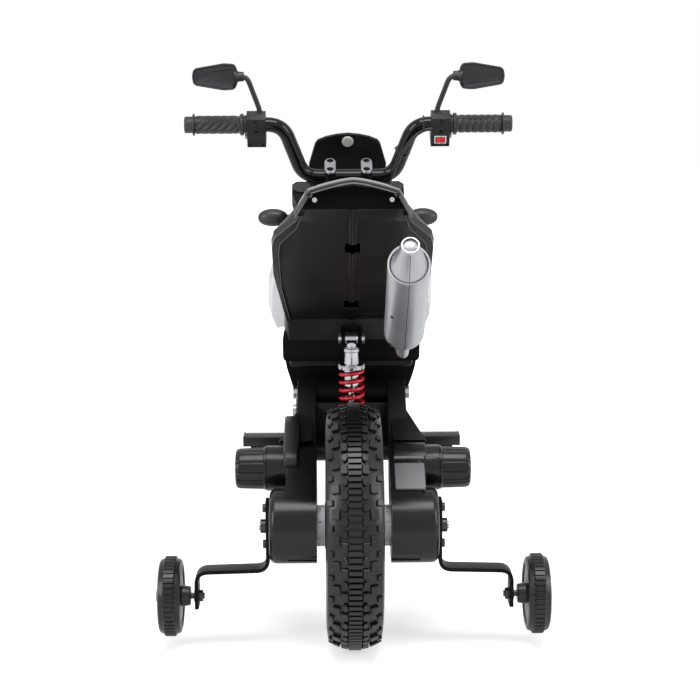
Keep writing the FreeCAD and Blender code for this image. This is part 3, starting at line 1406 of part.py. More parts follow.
cable_raw = cable_shape().cut(switch_solid)
yoke_solid = Part.makeBox(300, 200, 30, V(-150, -100, yoke_top - 30))
cable_raw = cable_raw.cut(yoke_solid)
cable_form = form(max(cable_raw.Solids, key=lambda s: s.Volume))
node("bar_cable", steered(cable_form))

tail_bolts = []
for x in (-47, 47):
    tail_bolts.append(cylinder(3, 3, (x, at_y(-72) - 3, 588), "y"))
node("frame_bolts", group(pivot_bolt, shock_bolt, *tail_bolts))

doc.recompute()
broken = []
for obj in doc.Objects:
    if "Invalid" in obj.State or "Error" in obj.State:
        broken.append(obj.Label)
for label, obj in pieces.items():
    shape = obj.Shape
    if shape.isNull() or not shape.isValid() or not shape.Solids:
        broken.append(label)
if broken:
    raise RuntimeError("not built: " + ", ".join(broken))
os.makedirs("parts", exist_ok=True)
for label, obj in pieces.items():
    obj.Shape.exportStep("parts/%s.step" % label)
print("%d sub-parts written" % len(pieces))
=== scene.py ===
import json
import math

import bmesh
import bpy
import numpy as np
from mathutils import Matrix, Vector


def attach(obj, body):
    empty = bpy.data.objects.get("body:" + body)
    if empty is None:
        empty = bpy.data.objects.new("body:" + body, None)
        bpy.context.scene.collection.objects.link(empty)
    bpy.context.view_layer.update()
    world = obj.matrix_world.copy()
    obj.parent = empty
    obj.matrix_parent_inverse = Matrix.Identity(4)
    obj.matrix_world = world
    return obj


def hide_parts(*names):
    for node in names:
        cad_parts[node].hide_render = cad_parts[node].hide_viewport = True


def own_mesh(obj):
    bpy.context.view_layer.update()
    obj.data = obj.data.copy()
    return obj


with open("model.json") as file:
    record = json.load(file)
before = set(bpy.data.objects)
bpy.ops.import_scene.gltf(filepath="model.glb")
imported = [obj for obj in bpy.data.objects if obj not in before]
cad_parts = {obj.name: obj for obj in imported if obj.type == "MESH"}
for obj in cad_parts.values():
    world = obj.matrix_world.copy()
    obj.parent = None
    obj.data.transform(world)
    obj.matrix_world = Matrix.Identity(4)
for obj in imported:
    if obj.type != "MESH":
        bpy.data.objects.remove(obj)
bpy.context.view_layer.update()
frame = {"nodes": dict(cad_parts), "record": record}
mm = 0.001
rearAxle = (-0.372409, 0.160)       # m, along the bike and up
frontAxle = (0.372409, 0.160)
headPoint = np.array([0.0, 0.0975906, 0.560])  # m, on the steering axis
headTurn = math.radians(30)         # rake of that axis
bodyOf = {node: body for body, nodes in frame["record"]["behaviour"]["bodies"].items() for node in nodes}
sides = (-1, 1)                     # left, right
meshSet = dict(weld=1e-6, copyWeld=2e-6, flat=1.5, bevelSteps=2)  # m, m, degrees, steps
print("frame loaded", len(frame["nodes"]), "nodes")


def hexLinear(code):
    # sRGB hex to linear colour
    c = np.array([int(code[i:i + 2], 16) for i in (1, 3, 5)]) / 255
    lin = np.where(c <= 0.04045, c / 12.92, ((c + 0.055) / 1.055) ** 2.4)
    return (*lin.tolist(), 1.0)


def addNode(tree, kind, inputs=None, **settings):
    node = tree.nodes.new(kind)
    for key, value in settings.items():
        setattr(node, key, value)
    for key, value in (inputs or {}).items():
        if isinstance(value, bpy.types.NodeSocket):
            tree.links.new(value, node.inputs[key])
        else:
            node.inputs[key].default_value = value
    return node


def mathNode(tree, operation, first, second, clamp=False):
    node = addNode(tree, "ShaderNodeMath", {0: first, 1: second}, operation=operation, use_clamp=clamp)
    return node.outputs[0]


def grid(points, loopU=False, loopV=False):
    # quads over an array of points, rows by columns; a loop joins the last row or column to the first
    rows, cols = points.shape[:2]
    uCount, vCount = rows if loopU else rows - 1, cols if loopV else cols - 1
    u, v = np.meshgrid(np.arange(uCount), np.arange(vCount), indexing="ij")
    u1, v1 = (u + 1) % rows, (v + 1) % cols
    quads = np.stack([u * cols + v, u1 * cols + v, u1 * cols + v1, u * cols + v1], -1)
    return points.reshape(-1, 3), quads.reshape(-1, 4)


def capped(rings):
    # quads along a row of closed rings, with one face over the first ring and one over the last
    verts, quads = grid(rings, loopV=True)
    count = rings.shape[1]
    last = (len(rings) - 1) * count
    return verts, [list(q) for q in quads] + [list(range(count)), list(range(last, last + count))]


def joined(*parts):
    # several (points, faces) sets as one; faces of different sizes stay in their own lists
    verts, faces, start = [], [], 0
    for points, polys in parts:
        verts.append(np.asarray(points, float).reshape(-1, 3))
        faces += [list(np.asarray(p) + start) for p in polys]
        start += len(verts[-1])
    return np.concatenate(verts), faces


def addObject(name, data):
    piece = bpy.data.objects.new(name, data)
    bpy.context.collection.objects.link(piece)
    return piece


def dress(piece, material, node, added=False, sharp=40, bevel=0, edgeLook=None):
    # finish, soft edges and body; the piece stands in its node's place, or beside it where it is added
    mesh = piece.data
    if bevel:
        mod = piece.modifiers.new("softEdges", "BEVEL")
        mod.width, mod.segments = bevel * mm, meshSet["bevelSteps"]
        mod.limit_method, mod.angle_limit = "ANGLE", math.radians(sharp)
        mod.harden_normals = True
    mesh.shade_smooth()
    mesh.set_sharp_from_angle(angle=math.radians(sharp))
    mesh.materials.clear()
    mesh.materials.append(material)
    if edgeLook:
        mesh.materials.append(edgeLook)
        piece.modifiers["softEdges"].material = 1
    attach(piece, bodyOf[node])
    if not added:
        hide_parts(node)
    return piece


def makePiece(name, shape, material, node, **looks):
    # a mesh of points and faces, welded, with its normals turned outwards
    verts, faces = shape
    mesh = bpy.data.meshes.new(name)
    mesh.from_pydata(np.asarray(verts).tolist(), [], [list(map(int, f)) for f in faces])
    work = bmesh.new()
    work.from_mesh(mesh)
    bmesh.ops.remove_doubles(work, verts=work.verts, dist=meshSet["weld"])
    bmesh.ops.recalc_face_normals(work, faces=work.faces)
    work.to_mesh(mesh)
    work.free()
    return dress(addObject(name, mesh), material, node, **looks)


def softCopy(node, edge, sharp, edgeLook):
    # a node's own shape with its edges rounded by edge mm, in place of the node
    mesh = frame["nodes"][node].data.copy()
    work = bmesh.new()
    work.from_mesh(mesh)
    bmesh.ops.remove_doubles(work, verts=work.verts, dist=meshSet["copyWeld"])
    flat = math.radians(meshSet["flat"])
    bmesh.ops.dissolve_limit(work, angle_limit=flat, verts=work.verts, edges=work.edges)
    work.to_mesh(mesh)
    work.free()
    dress(addObject("soft_" + node, mesh), nodeFinish[node], node, sharp=sharp, bevel=edge, edgeLook=edgeLook)


def oblong(left, right, low, high):
    # a rectangle's outline
    return [(left, low), (right, low), (right, high), (left, high)]


def roundOutline(points, radius, steps=4):
    # each corner becomes a short curve that starts and ends radius away from it
    p = np.asarray(points, float)
    back, ahead = np.roll(p, 1, 0) - p, np.roll(p, -1, 0) - p
    lengthB, lengthA = np.linalg.norm(back, axis=1), np.linalg.norm(ahead, axis=1)
    most = 0.46  # of a side, so that two corners never meet
    reachB, reachA = np.minimum(radius, most * lengthB), np.minimum(radius, most * lengthA)
    start = (p + back * (reachB / lengthB)[:, None])[:, None]
    end = (p + ahead * (reachA / lengthA)[:, None])[:, None]
    t = np.linspace(0, 1, steps)[None, :, None]
    return ((1 - t) ** 2 * start + 2 * t * (1 - t) * p[:, None] + t * t * end).reshape(-1, p.shape[1])


def softPath(points, radius, steps=9):
    # an open line with its inner corners rounded
    p = np.asarray(points, float)
    curved = roundOutline(p, radius, steps).reshape(len(p), steps, -1)
    return np.concatenate([p[:1], curved[1:-1].reshape(-1, p.shape[1]), p[-1:]])


def insetRings(outline, insets):
    # the outline moved inwards along its normals by each inset
    p = np.asarray(outline, float)
    x, y = p[:, 0], p[:, 1]
    if np.sum(x * np.roll(y, -1) - y * np.roll(x, -1)) < 0:
        p = p[::-1]
    along = np.roll(p, -1, 0) - np.roll(p, 1, 0)
    normal = np.stack([along[:, 1], -along[:, 0]], -1) / np.linalg.norm(along, axis=1)[:, None]
    return p[None] - np.asarray(insets)[:, None, None] * normal[None]


def slab(outline, low, high, soft, place):
    # an outline carried between two levels, its rims rounded along a quarter circle, closed at both ends
    a = np.linspace(0, np.pi / 2, 4)
    insets = np.concatenate([soft * (1 - np.sin(a)), soft * (1 - np.cos(a))])
    levels = np.concatenate([low + soft * (1 - np.cos(a)), high - soft * (1 - np.sin(a))])
    rings = insetRings(outline, insets)
    heights = np.broadcast_to(levels[:, None, None], (len(levels), rings.shape[1], 1))
    return capped(place(np.concatenate([rings, heights], -1)))


def tube(line, radius, count, aside=(0, 1, 0)):
    # circles carried along a line; aside is any direction that the line never takes
    line = np.asarray(line, float)
    along = np.gradient(line, axis=0)
    along /= np.linalg.norm(along, axis=1)[:, None]
    n = np.cross(along, np.asarray(aside, float))
    n /= np.linalg.norm(n, axis=1)[:, None]
    b = np.cross(along, n)
    a = np.linspace(0, 2 * np.pi, count, endpoint=False)
    ring = np.cos(a)[None, :, None] * n[:, None] + np.sin(a)[None, :, None] * b[:, None]
    return capped(line[:, None] + radius * ring)


def turnedShape(profile, count, axis="x"):
    # a profile of (along, radius) carried round an axis through the origin
    profile = np.asarray(profile, float)
    a = np.linspace(0, 2 * np.pi, count, endpoint=False)
    along = np.broadcast_to(profile[None, :, 0], (count, len(profile)))
    c, s = np.cos(a)[:, None] * profile[:, 1], np.sin(a)[:, None] * profile[:, 1]
    return grid(np.stack({"x": (along, c, s), "z": (c, s, along)}[axis], -1), loopU=True)


def besides(verts, side):
    # points mirrored to one side of the bike
    return np.asarray(verts) * (side, 1, 1)


def fromBehind(p):
    # an outline seen from behind (right, up), carried along the bike
    return np.stack([p[..., 0], p[..., 2], p[..., 1]], -1) * mm


def fromHead(points):
    # steering coordinates (right, ahead of the head axis, up along it) to the bike's frame
    p = np.asarray(points, float)
    c, s = math.cos(headTurn), math.sin(headTurn)
    return np.stack([p[..., 0], p[..., 1] * c - p[..., 2] * s, p[..., 1] * s + p[..., 2] * c], -1) + headPoint


def asDrawn(p):
    # points that stay where the outline and its level put them
    return p


def finish(name, colour, shade, rough, grain, depth, blotch, metallic=0.0, ior=1.5, coat=0.0, specular=0.5):
    # a base colour that drifts to a shade over blotch mm, a roughness that drifts with it, and a grain of
    # grain mm; real mould grain is about 0.1 mm, too fine to show, so it is drawn coarser
    low, high = 0.3, 0.7  # most of the noise lies between these
    material = bpy.data.materials.new(name)
    material.use_nodes = True
    tree = material.node_tree
    shader = tree.nodes["Principled BSDF"]
    where = addNode(tree, "ShaderNodeTexCoord").outputs["Object"]

    def noise(size, detail):
        inputs = {"Vector": where, "Scale": 1000 / size, "Detail": detail}
        return addNode(tree, "ShaderNodeTexNoise", inputs).outputs["Fac"]

    drift = noise(blotch, 4.0)
    fine = noise(grain, 2.0)
    ramp = addNode(tree, "ShaderNodeValToRGB", {"Fac": drift})
    for element, position, code in zip(ramp.color_ramp.elements, (low, high), (colour, shade)):
        element.position, element.color = position, hexLinear(code)
    spread = addNode(tree, "ShaderNodeMapRange", {"Value": drift, "From Min": low, "From Max": high,
                                                  "To Min": rough[0], "To Max": rough[1]})
    bump = addNode(tree, "ShaderNodeBump", {"Height": fine, "Strength": 1.0, "Distance": depth * mm})
    tree.links.new(ramp.outputs["Color"], shader.inputs["Base Color"])
    tree.links.new(spread.outputs["Result"], shader.inputs["Roughness"])
    tree.links.new(bump.outputs["Normal"], shader.inputs["Normal"])
    for socket, value in (("Metallic", metallic), ("IOR", ior), ("Specular IOR Level", specular),
                          ("Coat Weight", coat), ("Coat Roughness", 0.1)):
        shader.inputs[socket].default_value = value
    return material


# each call: name, colour, shade, roughness from and to, then grain, its depth and blotch in mm

# satin moulded panels: dark with a dull sheen from a spark-textured mould
satinAbs = finish("satinAbs", "#0c0c0e", "#121214", (0.34, 0.44), 0.9, 0.03, 70, specular=0.42)
# drive cases: nylon off a smooth mould, with a broad highlight
smoothNylon = finish("smoothNylon", "#0a0a0c", "#0f0f11", (0.20, 0.28), 1.1, 0.015, 80, specular=0.32)
# switch boxes and lamp mask: finely etched, greyer than the panels
etchedAbs = finish("etchedAbs", "#121214", "#18181a", (0.36, 0.46), 0.6, 0.03, 40, specular=0.28)
# worn mould edges: smoother than the faces beside them, so a corner draws a line of light
edgeAbs = finish("edgeAbs", "#101012", "#151517", (0.16, 0.22), 1.5, 0.01, 60, specular=0.9)
# near-black and dull, giving back next to no light: painted shade for recesses and for the undersides of
# parts
shadeBlackPp = finish("shadeBlackPolypropylene", "#050506", "#080809", (0.5, 0.6), 1.4, 0.06, 50, specular=0.07)
# polished mouldings: deep black with clear reflections
glossAbs = finish("glossAbs", "#050506", "#080809", (0.12, 0.18), 1.5, 0.01, 60, specular=0.35)
# seat: leather-look grain pressed into the moulding
seatAbs = finish("seatGrainAbs", "#101011", "#161618", (0.42, 0.55), 2.2, 0.12, 50, specular=0.3)
# shrouds: a cool gloss white with soft reflections
whiteAbs = finish("whiteAbs", "#d8d8dc", "#d0d0d4", (0.16, 0.24), 1.5, 0.01, 80)
# grey mouldings: a flat, even middle tone beside the black; on the right case's pad and lip the same grey is
# a painted highlight on the black case
greyAbsAndHighlight = finish("greyAbsAndHighlight", "#757578", "#7e7e81", (0.40, 0.5), 0.9, 0.03, 60)
# grips and mirror shells: soft plastic that spreads the light
gripPvc = finish("gripPvc", "#18181a", "#202022", (0.34, 0.44), 0.7, 0.02, 40, specular=0.5)
# blown tyre: waxy sheen on the block edges
blownPe = finish("blownPolyethylene", "#0d0d0e", "#131314", (0.26, 0.36), 1.1, 0.02, 50, specular=0.38)
# drive hubs: pale grey plastic drawn near white, paler than it is: painted light against the shade of the
# cases
hubPp = finish("greyPolypropylene", "#ecedf0", "#f2f3f5", (0.36, 0.46), 0.9, 0.02, 50)
# plated bolts: small bright points, clouded by the plating
zincSteel = finish("zincSteel", "#c4c4c0", "#aeaeac", (0.24, 0.36), 0.8, 0.02, 12, metallic=1.0)
# black plating: dark metal that glints at its edges
darkZinc = finish("blackZinc", "#38383a", "#454547", (0.24, 0.36), 0.8, 0.02, 12, metallic=1.0)
# chrome: bands of light and dark along the shock
chromeSteel = finish("chromeSteel", "#b4b4b8", "#a6a6aa", (0.12, 0.18), 1.0, 0.01, 20, metallic=1.0)
# silver paint: fine flake, broad soft highlight along the can
silverPaint = finish("silverPaint", "#a6a7ab", "#b0b1b5", (0.28, 0.36), 0.5, 0.012, 90, metallic=0.7)
# spring coat: strong red with a wet line of light along each turn
redPaint = finish("redPowderCoat", "#d2142c", "#be1026", (0.22, 0.32), 0.8, 0.02, 25, coat=0.3)
# gloss powder coat: black with a faint orange peel
blackPaint = finish("glossPowderCoat", "#050506", "#070708", (0.08, 0.13), 1.6, 0.008, 50, specular=0.28)
# satin powder coat: a dull black, so that frame and straps sit back
satinPaint = finish("satinPowderCoat", "#09090b", "#0e0e10", (0.34, 0.44), 1.4, 0.03, 50, specular=0.08)
# clamp paint: grey with a metal sheen that lifts the caps off the black bar
clampPaint = finish("greyPaint", "#8c8d90", "#98999c", (0.24, 0.34), 1.0, 0.02, 25, metallic=0.7)
# lead sheath: plain black with a thin line of light
leadPvc = finish("leadPvc", "#0d0d0e", "#121213", (0.35, 0.45), 0.8, 0.02, 20)
# rocker: clear smooth red
rockerAbs = finish("redAbs", "#d81820", "#c8141c", (0.20, 0.28), 1.0, 0.01, 20)
# buttons: pale warm grey, matt
buttonAbs = finish("paleGreyAbs", "#c9c8c4", "#bdbcb8", (0.34, 0.42), 0.8, 0.02, 20)
# mirror sheet: dark film, reflects softly
mirrorSheet = finish("mirrorSheet", "#3f3d40", "#39383a", (0.10, 0.16), 1.0, 0.003, 40, metallic=0.9)
# lamp lens: clear plastic, the lamp's inside shows through
clearPc = finish("clearPolycarbonate", "#dfe4e8", "#d8dee2", (0.05, 0.09), 1.2, 0.01, 40, ior=1.58)
clearPc.node_tree.nodes["Principled BSDF"].inputs["Transmission Weight"].default_value = 0.85
print("finishes made")

finishRows = [
    (satinPaint, "main_frame upper_yoke"),
    (satinAbs, "body_left body_right footpegs swingarm arm_cover rear_rim steering_stem fork_legs "
               "front_indicators front_rim"),
    (seatAbs, "seat"),
    (glossAbs, "tail_cowl tank_cover front_mudguard"),
    (whiteAbs, "tank_shrouds rocker_bezel"),
    (greyAbsAndHighlight, "battery_pack control_board head_bushes"),
    (gripPvc, "charge_socket grip_left mirror_stems throttle_grip mirror_left mirror_right"),
    (zincSteel, "frame_bolts drive_motors rear_axle motor_pinions front_axle"),
    (silverPaint, "muffler_can muffler_cone exhaust_pipe"),
    (smoothNylon, "gearbox_cases motor_covers"),
    (darkZinc, "swingarm_bolts"),
    (blackPaint, "stabiliser_arms handlebar"),
    (blownPe, "rear_tyre stabiliser_wheel_left stabiliser_wheel_right front_tyre"),
    (hubPp, "drive_hubs cluster_gears"),
    (chromeSteel, "shock_body shock_rod"),
    (redPaint, "shock_spring"),
    (clampPaint, "bar_clamps"),
    (etchedAbs, "switch_boxes headlight_mask"),
    (clearPc, "headlight_lens"),
    (leadPvc, "bar_cable"),
    (rockerAbs, "start_rocker"),
    (buttonAbs, "horn_button mode_button start_button"),
    (mirrorSheet, "mirror_glass_left mirror_glass_right"),
]
nodeFinish = {node: material for material, nodes in finishRows for node in nodes.split()}
for nodeName, material in nodeFinish.items():
    cadObject = frame["nodes"][nodeName]
    cadObject.data.materials.clear()
    cadObject.data.materials.append(material)

tyreSet = dict(radius=160, crown=155, half=37.2, rim=108, bead=28, pitches=30, barsPerPitch=4, shoulder=3.0,
               fall=11, share=0.55, swell=0.62, tuck=1.6, root=1.5, chamfer=0.9)
centreBar = ((-7.9, 7.9), 5.6, 5.0, 0.0, 0.94, 0.06)
# each row: from and to across the crown, length round it, height, place in the pitch, taper, cut corners
treadRows = [((8.6, 17.0), 13.0, 4.0, 0.56, 0.86, 0.12),   # square block
             ((8.6, 15.5), 11.0, 4.0, 0.06, 0.86, 0.55),   # rounded block
             ((18.6, 28.5), 13.0, 4.2, 0.31, 0.84, 0.12),  # shoulder block
             ((27.5, 34.5), 8.5, 3.6, 0.84, 0.82, 0.2)]    # edge knob


def tyreLine(count):
    # half section from the crown to the bead: a flat arc over the crown, then a fuller one down the side
    t = tyreSet
    x1, r1 = t["half"] - t["shoulder"], t["crown"] - t["fall"]
    a = np.linspace(0, 1, count)
    bow = (x1 * x1 + t["fall"] ** 2) / (2 * t["fall"])
    over = np.minimum(a / t["share"], 1) * math.asin(x1 / bow)
    down = np.clip((a - t["share"]) / (1 - t["share"]), 0, 1)
    flank = x1 + (t["half"] - x1) * np.sin(down * np.pi * t["swell"]) - down ** 2 * t["tuck"]
    x = np.where(a < t["share"], bow * np.sin(over), flank)
    r = np.where(a < t["share"], t["crown"] - bow * (1 - np.cos(over)), r1 + (t["rim"] + 1 - r1) * down)
    return x, r


def treadBlocks(row, count, side):
    # blocks standing on the crown: an eight-sided outline with walls and a chamfer, repeated round the wheel
    t = tyreSet
    (near, far), length, height, phase, taper, cut = row
    x, r = tyreLine(count=400)
    arc = np.concatenate([[0], np.cumsum(np.hypot(np.diff(x), np.diff(r)))])
    outline = np.array([(-1, -1 + cut), (-1 + cut, -1), (1 - cut, -1), (1, -1 + cut),
                        (1, 1 - cut), (1 - cut, 1), (-1 + cut, 1), (-1, 1 - cut)], float)
    rings = np.array([(1.0, -t["root"]), (1.0, height - t["chamfer"]), (taper, height)])
    s = (near + far) / 2 + outline[None, :, 0] * (far - near) / 2 * rings[:, None, 0]
    lift = np.broadcast_to(rings[:, 1][:, None], s.shape)
    off = np.abs(s)
    px, pr = np.sign(s) * np.interp(off, arc, x), np.interp(off, arc, r)
    step = 0.5  # mm either way, for the slope of the section
    ahead, behind = off + step, np.maximum(off - step, 0)
    dx = np.interp(ahead, arc, x) - np.interp(behind, arc, x)
    dr = np.interp(ahead, arc, r) - np.interp(behind, arc, r)
    size = np.hypot(dx, dr)
    px = px + np.sign(s) * lift * (-dr / size)
    pr = np.minimum(pr + lift * (dx / size), t["radius"])
    turn = 2 * np.pi * (np.arange(count) + phase) / count
    reach = outline[None, None, :, 1] * rings[None, :, None, 0] * (length / 2) / t["radius"]
    angle = turn[:, None, None] + reach
    points = np.stack([np.broadcast_to(side * px, angle.shape), pr * np.cos(angle), pr * np.sin(angle)], -1)
    corners, layers = len(outline), len(rings)
    walls = grid(points[0], loopV=True)[1]
    start = np.arange(count)[:, None, None] * corners * layers
    faces = [list(f) for f in (walls[None] + start).reshape(-1, 4)]
    top = np.arange(corners * (layers - 1), corners * layers)
    faces += [list(f) for f in (top[None] + start[:, 0])]
    return points.reshape(-1, 3), faces


def tyre(name, axle, node):
    # the section carried round the axle, with a centre row of bars and four rows of blocks on each side
    t = tyreSet
    x, r = tyreLine(count=28)
    section = np.concatenate([np.stack([-x[:0:-1], r[:0:-1]], -1), np.stack([x, r], -1)])
    section = np.concatenate([[[-t["bead"], t["rim"] - 1]], section, [[t["bead"], t["rim"] - 1]]])
    parts = [turnedShape(section, count=180), treadBlocks(centreBar, t["pitches"] * t["barsPerPitch"], 1)]
    parts += [treadBlocks(row, t["pitches"], side) for side in sides for row in treadRows]
    verts, faces = joined(*parts)
    makePiece(name, (verts * mm + (0, *axle), faces), blownPe, node, sharp=32)


tyre("rearTyreTread", rearAxle, "rear_tyre")
tyre("frontTyreTread", frontAxle, "front_tyre")
print("tyres done")

softEdges = {
    "body_left": 1.2, "body_right": 1.2, "tail_cowl": 0.9, "seat": 3.0, "tank_cover": 2.0,
    "tank_shrouds": 4.0, "gearbox_cases": 1.0, "swingarm": 1.0, "upper_yoke": 2.0, "steering_stem": 1.2,
    "fork_legs": 0.6, "front_mudguard": 1.0, "switch_boxes": 1.4, "headlight_mask": 1.2,
    "rear_rim": 0.8, "front_rim": 0.8, "drive_hubs": 0.5, "muffler_can": 0.5, "main_frame": 0.8,
    "rocker_bezel": 0.3, "start_rocker": 0.3,
}
plainSharp = 35
sharpOf = {"tank_shrouds": 48}  # the shrouds' shallow facets stay smooth
brightEdges = ("body_left", "body_right", "tail_cowl", "gearbox_cases", "swingarm", "switch_boxes")
for nodeName, edge in softEdges.items():
    softCopy(nodeName, edge, sharpOf.get(nodeName, plainSharp), edgeAbs if nodeName in brightEdges else None)
print("soft edges done")

gripSet = dict(axisY=47.153, axisZ=661.361, ribFrom=164, ribTo=228, lift=1.1, fade=2, starts=7, pitch=11.9,
               land=0.55, steep=1.3, ring=10.0, blunt=0.5, steps=190, around=120)
gripInner = [(152, 13.6), (152.4, 14.4), (154.2, 14.4), (154.6, 12.9), (155.6, 12.9), (156, 15.6),
             (156.5, 16.2), (160.5, 16.2), (161.5, 14.2), (163.5, 12.4)]
gripOuter = [(228.4, 12.4), (228.9, 15.8), (229.5, 16.4), (231, 16.4), (231.6, 15.8), (232, 12.6),
             (233, 12.4), (242.2, 12.4), (243.4, 11.9), (244, 10.9), (244, 0.05)]


def grip(name, side, node, ribs):
    # the profile carried round the bar, with ribs(along, angle) from 0 to 1 raised on its middle
    g = gripSet
    middle = np.linspace(g["ribFrom"], g["ribTo"], g["steps"])
    ribbed = np.stack([middle, np.full(g["steps"], gripOuter[0][1])], -1)
    profile = np.concatenate([gripInner, ribbed, gripOuter])
    angle = np.linspace(0, 2 * np.pi, g["around"], endpoint=False)
    x, a = np.meshgrid(profile[:, 0], angle, indexing="ij")
    inside = np.clip((x - g["ribFrom"]) / g["fade"], 0, 1) * np.clip((g["ribTo"] - x) / g["fade"], 0, 1)
    r = profile[:, 1][:, None] + g["lift"] * inside * ribs(x, a)
    points = np.stack([side * x, g["axisY"] + r * np.cos(a), g["axisZ"] + r * np.sin(a)], -1)
    makePiece(name, grid(points * mm, loopV=True), gripPvc, node, sharp=50)


def spiralRibs(x, a):
    # a sine of the angle that turns with the way along, cut off flat
    g = gripSet
    return np.clip(g["land"] + g["steep"] * np.sin(g["starts"] * a - 2 * np.pi * x / g["pitch"]), 0, 1)


def ringRibs(x, a):
    # a rounded wave of the way along alone
    g = gripSet
    return np.abs(np.sin(np.pi * (x - g["ribFrom"]) / g["ring"])) ** g["blunt"]


grip("spiralGrip", -1, "grip_left", spiralRibs)
grip("ringedThrottle", 1, "throttle_grip", ringRibs)

strapSet = dict(middle=-372.4, width=30, thick=5, bend=15, edge=0.9)
strapPath = [(111.5, 194), (111.5, 103.9), (204.5, 101.5), (204.5, 53)]


def straps():
    # a flat bar's section carried along a line with two bends, seen from behind
    s = strapSet
    line = softPath(strapPath, s["bend"])
    way = np.gradient(line, axis=0)
    across = np.stack([way[:, 1], -way[:, 0]], -1) / np.linalg.norm(way, axis=1)[:, None]
    half, wide = s["thick"] / 2, s["width"] / 2
    section = roundOutline(oblong(-half, half, -wide, wide), s["edge"])
    flat = line[:, None] + section[None, :, :1] * across[:, None]
    depth = np.broadcast_to(s["middle"] + section[None, :, 1], flat.shape[:2])
    rings = np.stack([flat[..., 0], depth, flat[..., 1]], -1) * mm
    shapes = [capped(besides(rings, side)) for side in sides]
    makePiece("bentStraps", joined(*shapes), satinPaint, "stabiliser_arms")


straps()
print("grips and straps done")


def grooved(profile, groove, band, s):
    # a profile carried round an axis along x at the setting's y and z, cut by groove(angle) where band is 1
    count = len(groove)
    a = np.arange(count) * 2 * np.pi / count
    r = profile[None, :, 1] - groove[:, None] * band[None]
    x = np.broadcast_to(profile[None, :, 0], r.shape)
    return np.stack([x, s["y"] + r * np.cos(a)[:, None], s["z"] + r * np.sin(a)[:, None]], -1) * mm


sideSet = dict(centre=238.5, y=-372.409, z=67, ribs=46, rib=1.6, bandFrom=51, steps=8)
sideLine = np.array([(-25.5, 4.1), (-25.5, 11.5), (-24.5, 12.4), (-15, 14), (-13, 30), (-12.5, 38),
                     (-14.5, 40.5), (-14.5, 44), (-13, 47.2), (-7.6, 49.4), (-7, 51.2), (-6.2, 52), (6.2, 52),
                     (7, 51.2), (7.6, 49.4), (13, 47.2), (14.5, 44), (14.5, 40.5), (12.5, 38), (13, 30),
                     (14.5, 12), (14.5, 4.1)])


def sideWheel(side, name, node):
    # the profile carried round the pin, its middle band cut into ribs by a square wave of the angle
    s = sideSet
    k = np.arange(s["ribs"] * s["steps"])
    groove = np.where(k % s["steps"] < s["steps"] / 2, 0.0, s["rib"])
    band = (sideLine[:, 1] > s["bandFrom"]).astype(float)
    points = grooved(sideLine + (s["centre"], 0), groove, band, s)
    makePiece(name, grid(besides(points, side), loopU=True), blownPe, node, sharp=32)


sideWheel(-1, "ribbedWheel_left", "stabiliser_wheel_left")
sideWheel(1, "ribbedWheel_right", "stabiliser_wheel_right")

capSet = dict(y=-302.424, z=219.99, flutes=12, depth=1.1, wide=0.13, fluted=(118, 155), steps=20)
capLine = np.array([(114.2, 21), (114.2, 28.4), (115, 29), (117, 29), (117.6, 28.4), (118.4, 27.6),
                    (130, 27.3), (140, 27.0), (149, 26.7), (152.5, 26), (154.6, 24.4), (155.7, 22), (156, 19),
                    (156, 0.05)])


def motorCaps():
    # the profile carried round the motor, with narrow grooves along its side
    s = capSet
    k = np.arange(s["flutes"] * s["steps"])
    near = np.abs((k / s["steps"] + 0.5) % 1 - 0.5)
    groove = s["depth"] * np.clip(1 - near / s["wide"], 0, 1)
    band = ((capLine[:, 0] > s["fluted"][0]) & (capLine[:, 0] < s["fluted"][1])).astype(float)
    points = grooved(capLine, groove, band, s)
    shapes = [grid(besides(points, side), loopU=True) for side in sides]
    makePiece("flutedCaps", joined(*shapes), smoothNylon, "motor_covers", sharp=28)


motorCaps()
print("side wheels and motor caps done")

armSet = dict(outer=-91.4, inner=-72, axleY=-372.409, axleZ=150, coverEdge=7, coverSoft=3.2, plate=4.5,
              plateEdge=3, webY=(-173, -169.5), webEdge=5, webSoft=0.8)
coverOutline = [(28, 78), (25, 90), (32, 99), (60, 112), (98, 126), (128, 130), (142, 122), (142, 104),
                (66, 58), (46, 60)]
gussetFace = [(54, -172, 284), (73, -197, 281), (98, -287, 254), (54, -287, 254)]
webOutline = oblong(-53, 53, 214, 282)


def onArm(p):
    # an outline seen from the left (ahead of the axle, up), carried across the bike
    return np.stack([p[..., 2], p[..., 0] + armSet["axleY"], p[..., 1] + armSet["axleZ"]], -1) * mm


def armTrim():
    # the left arm's moulded cover, a sloping gusset on each arm and a web between the arms
    s = armSet
    outline = roundOutline(coverOutline, s["coverEdge"], steps=6)
    cover = slab(outline, s["outer"], s["inner"], s["coverSoft"], onArm)
    makePiece("armCover", cover, satinAbs, "arm_cover")
    face = np.array(gussetFace, float)
    across = np.cross(face[1] - face[0], face[2] - face[0])
    across /= -np.linalg.norm(across) * np.sign(across[2])
    ring = roundOutline(face, s["plateEdge"])
    layers = np.stack([ring, ring + across * s["plate"]]) * mm
    shapes = [capped(besides(layers, side)) for side in sides]
    web = slab(roundOutline(webOutline, s["webEdge"], steps=5), *s["webY"], s["webSoft"], fromBehind)
    makePiece("armGussets", joined(*shapes, web), satinAbs, "swingarm", added=True, bevel=0.8)


armTrim()

lipSet = dict(half=56, top=614.6, fall=13.2, power=1.45, back=-473.4, points=61, drop=6.5,
              shadePlateY=(-445.2, -443.5), shadePlateSoft=0.3)
# the cheeks: right, up, ahead of the arch, share of the section's size
lipEnds = [(73.5, 560, 55, 0.25), (70.5, 570, 44, 0.3), (66.5, 584, 26, 0.5)]
lipSection = [(-7, 32), (0, 32), (-0.6, 11), (-1.6, 5), (-3.6, 1.4), (-5.6, 0), (-7, 1.4)]
shadePlateFoot = [(60, 590), (63, 577), (-63, 577), (-60, 590)]


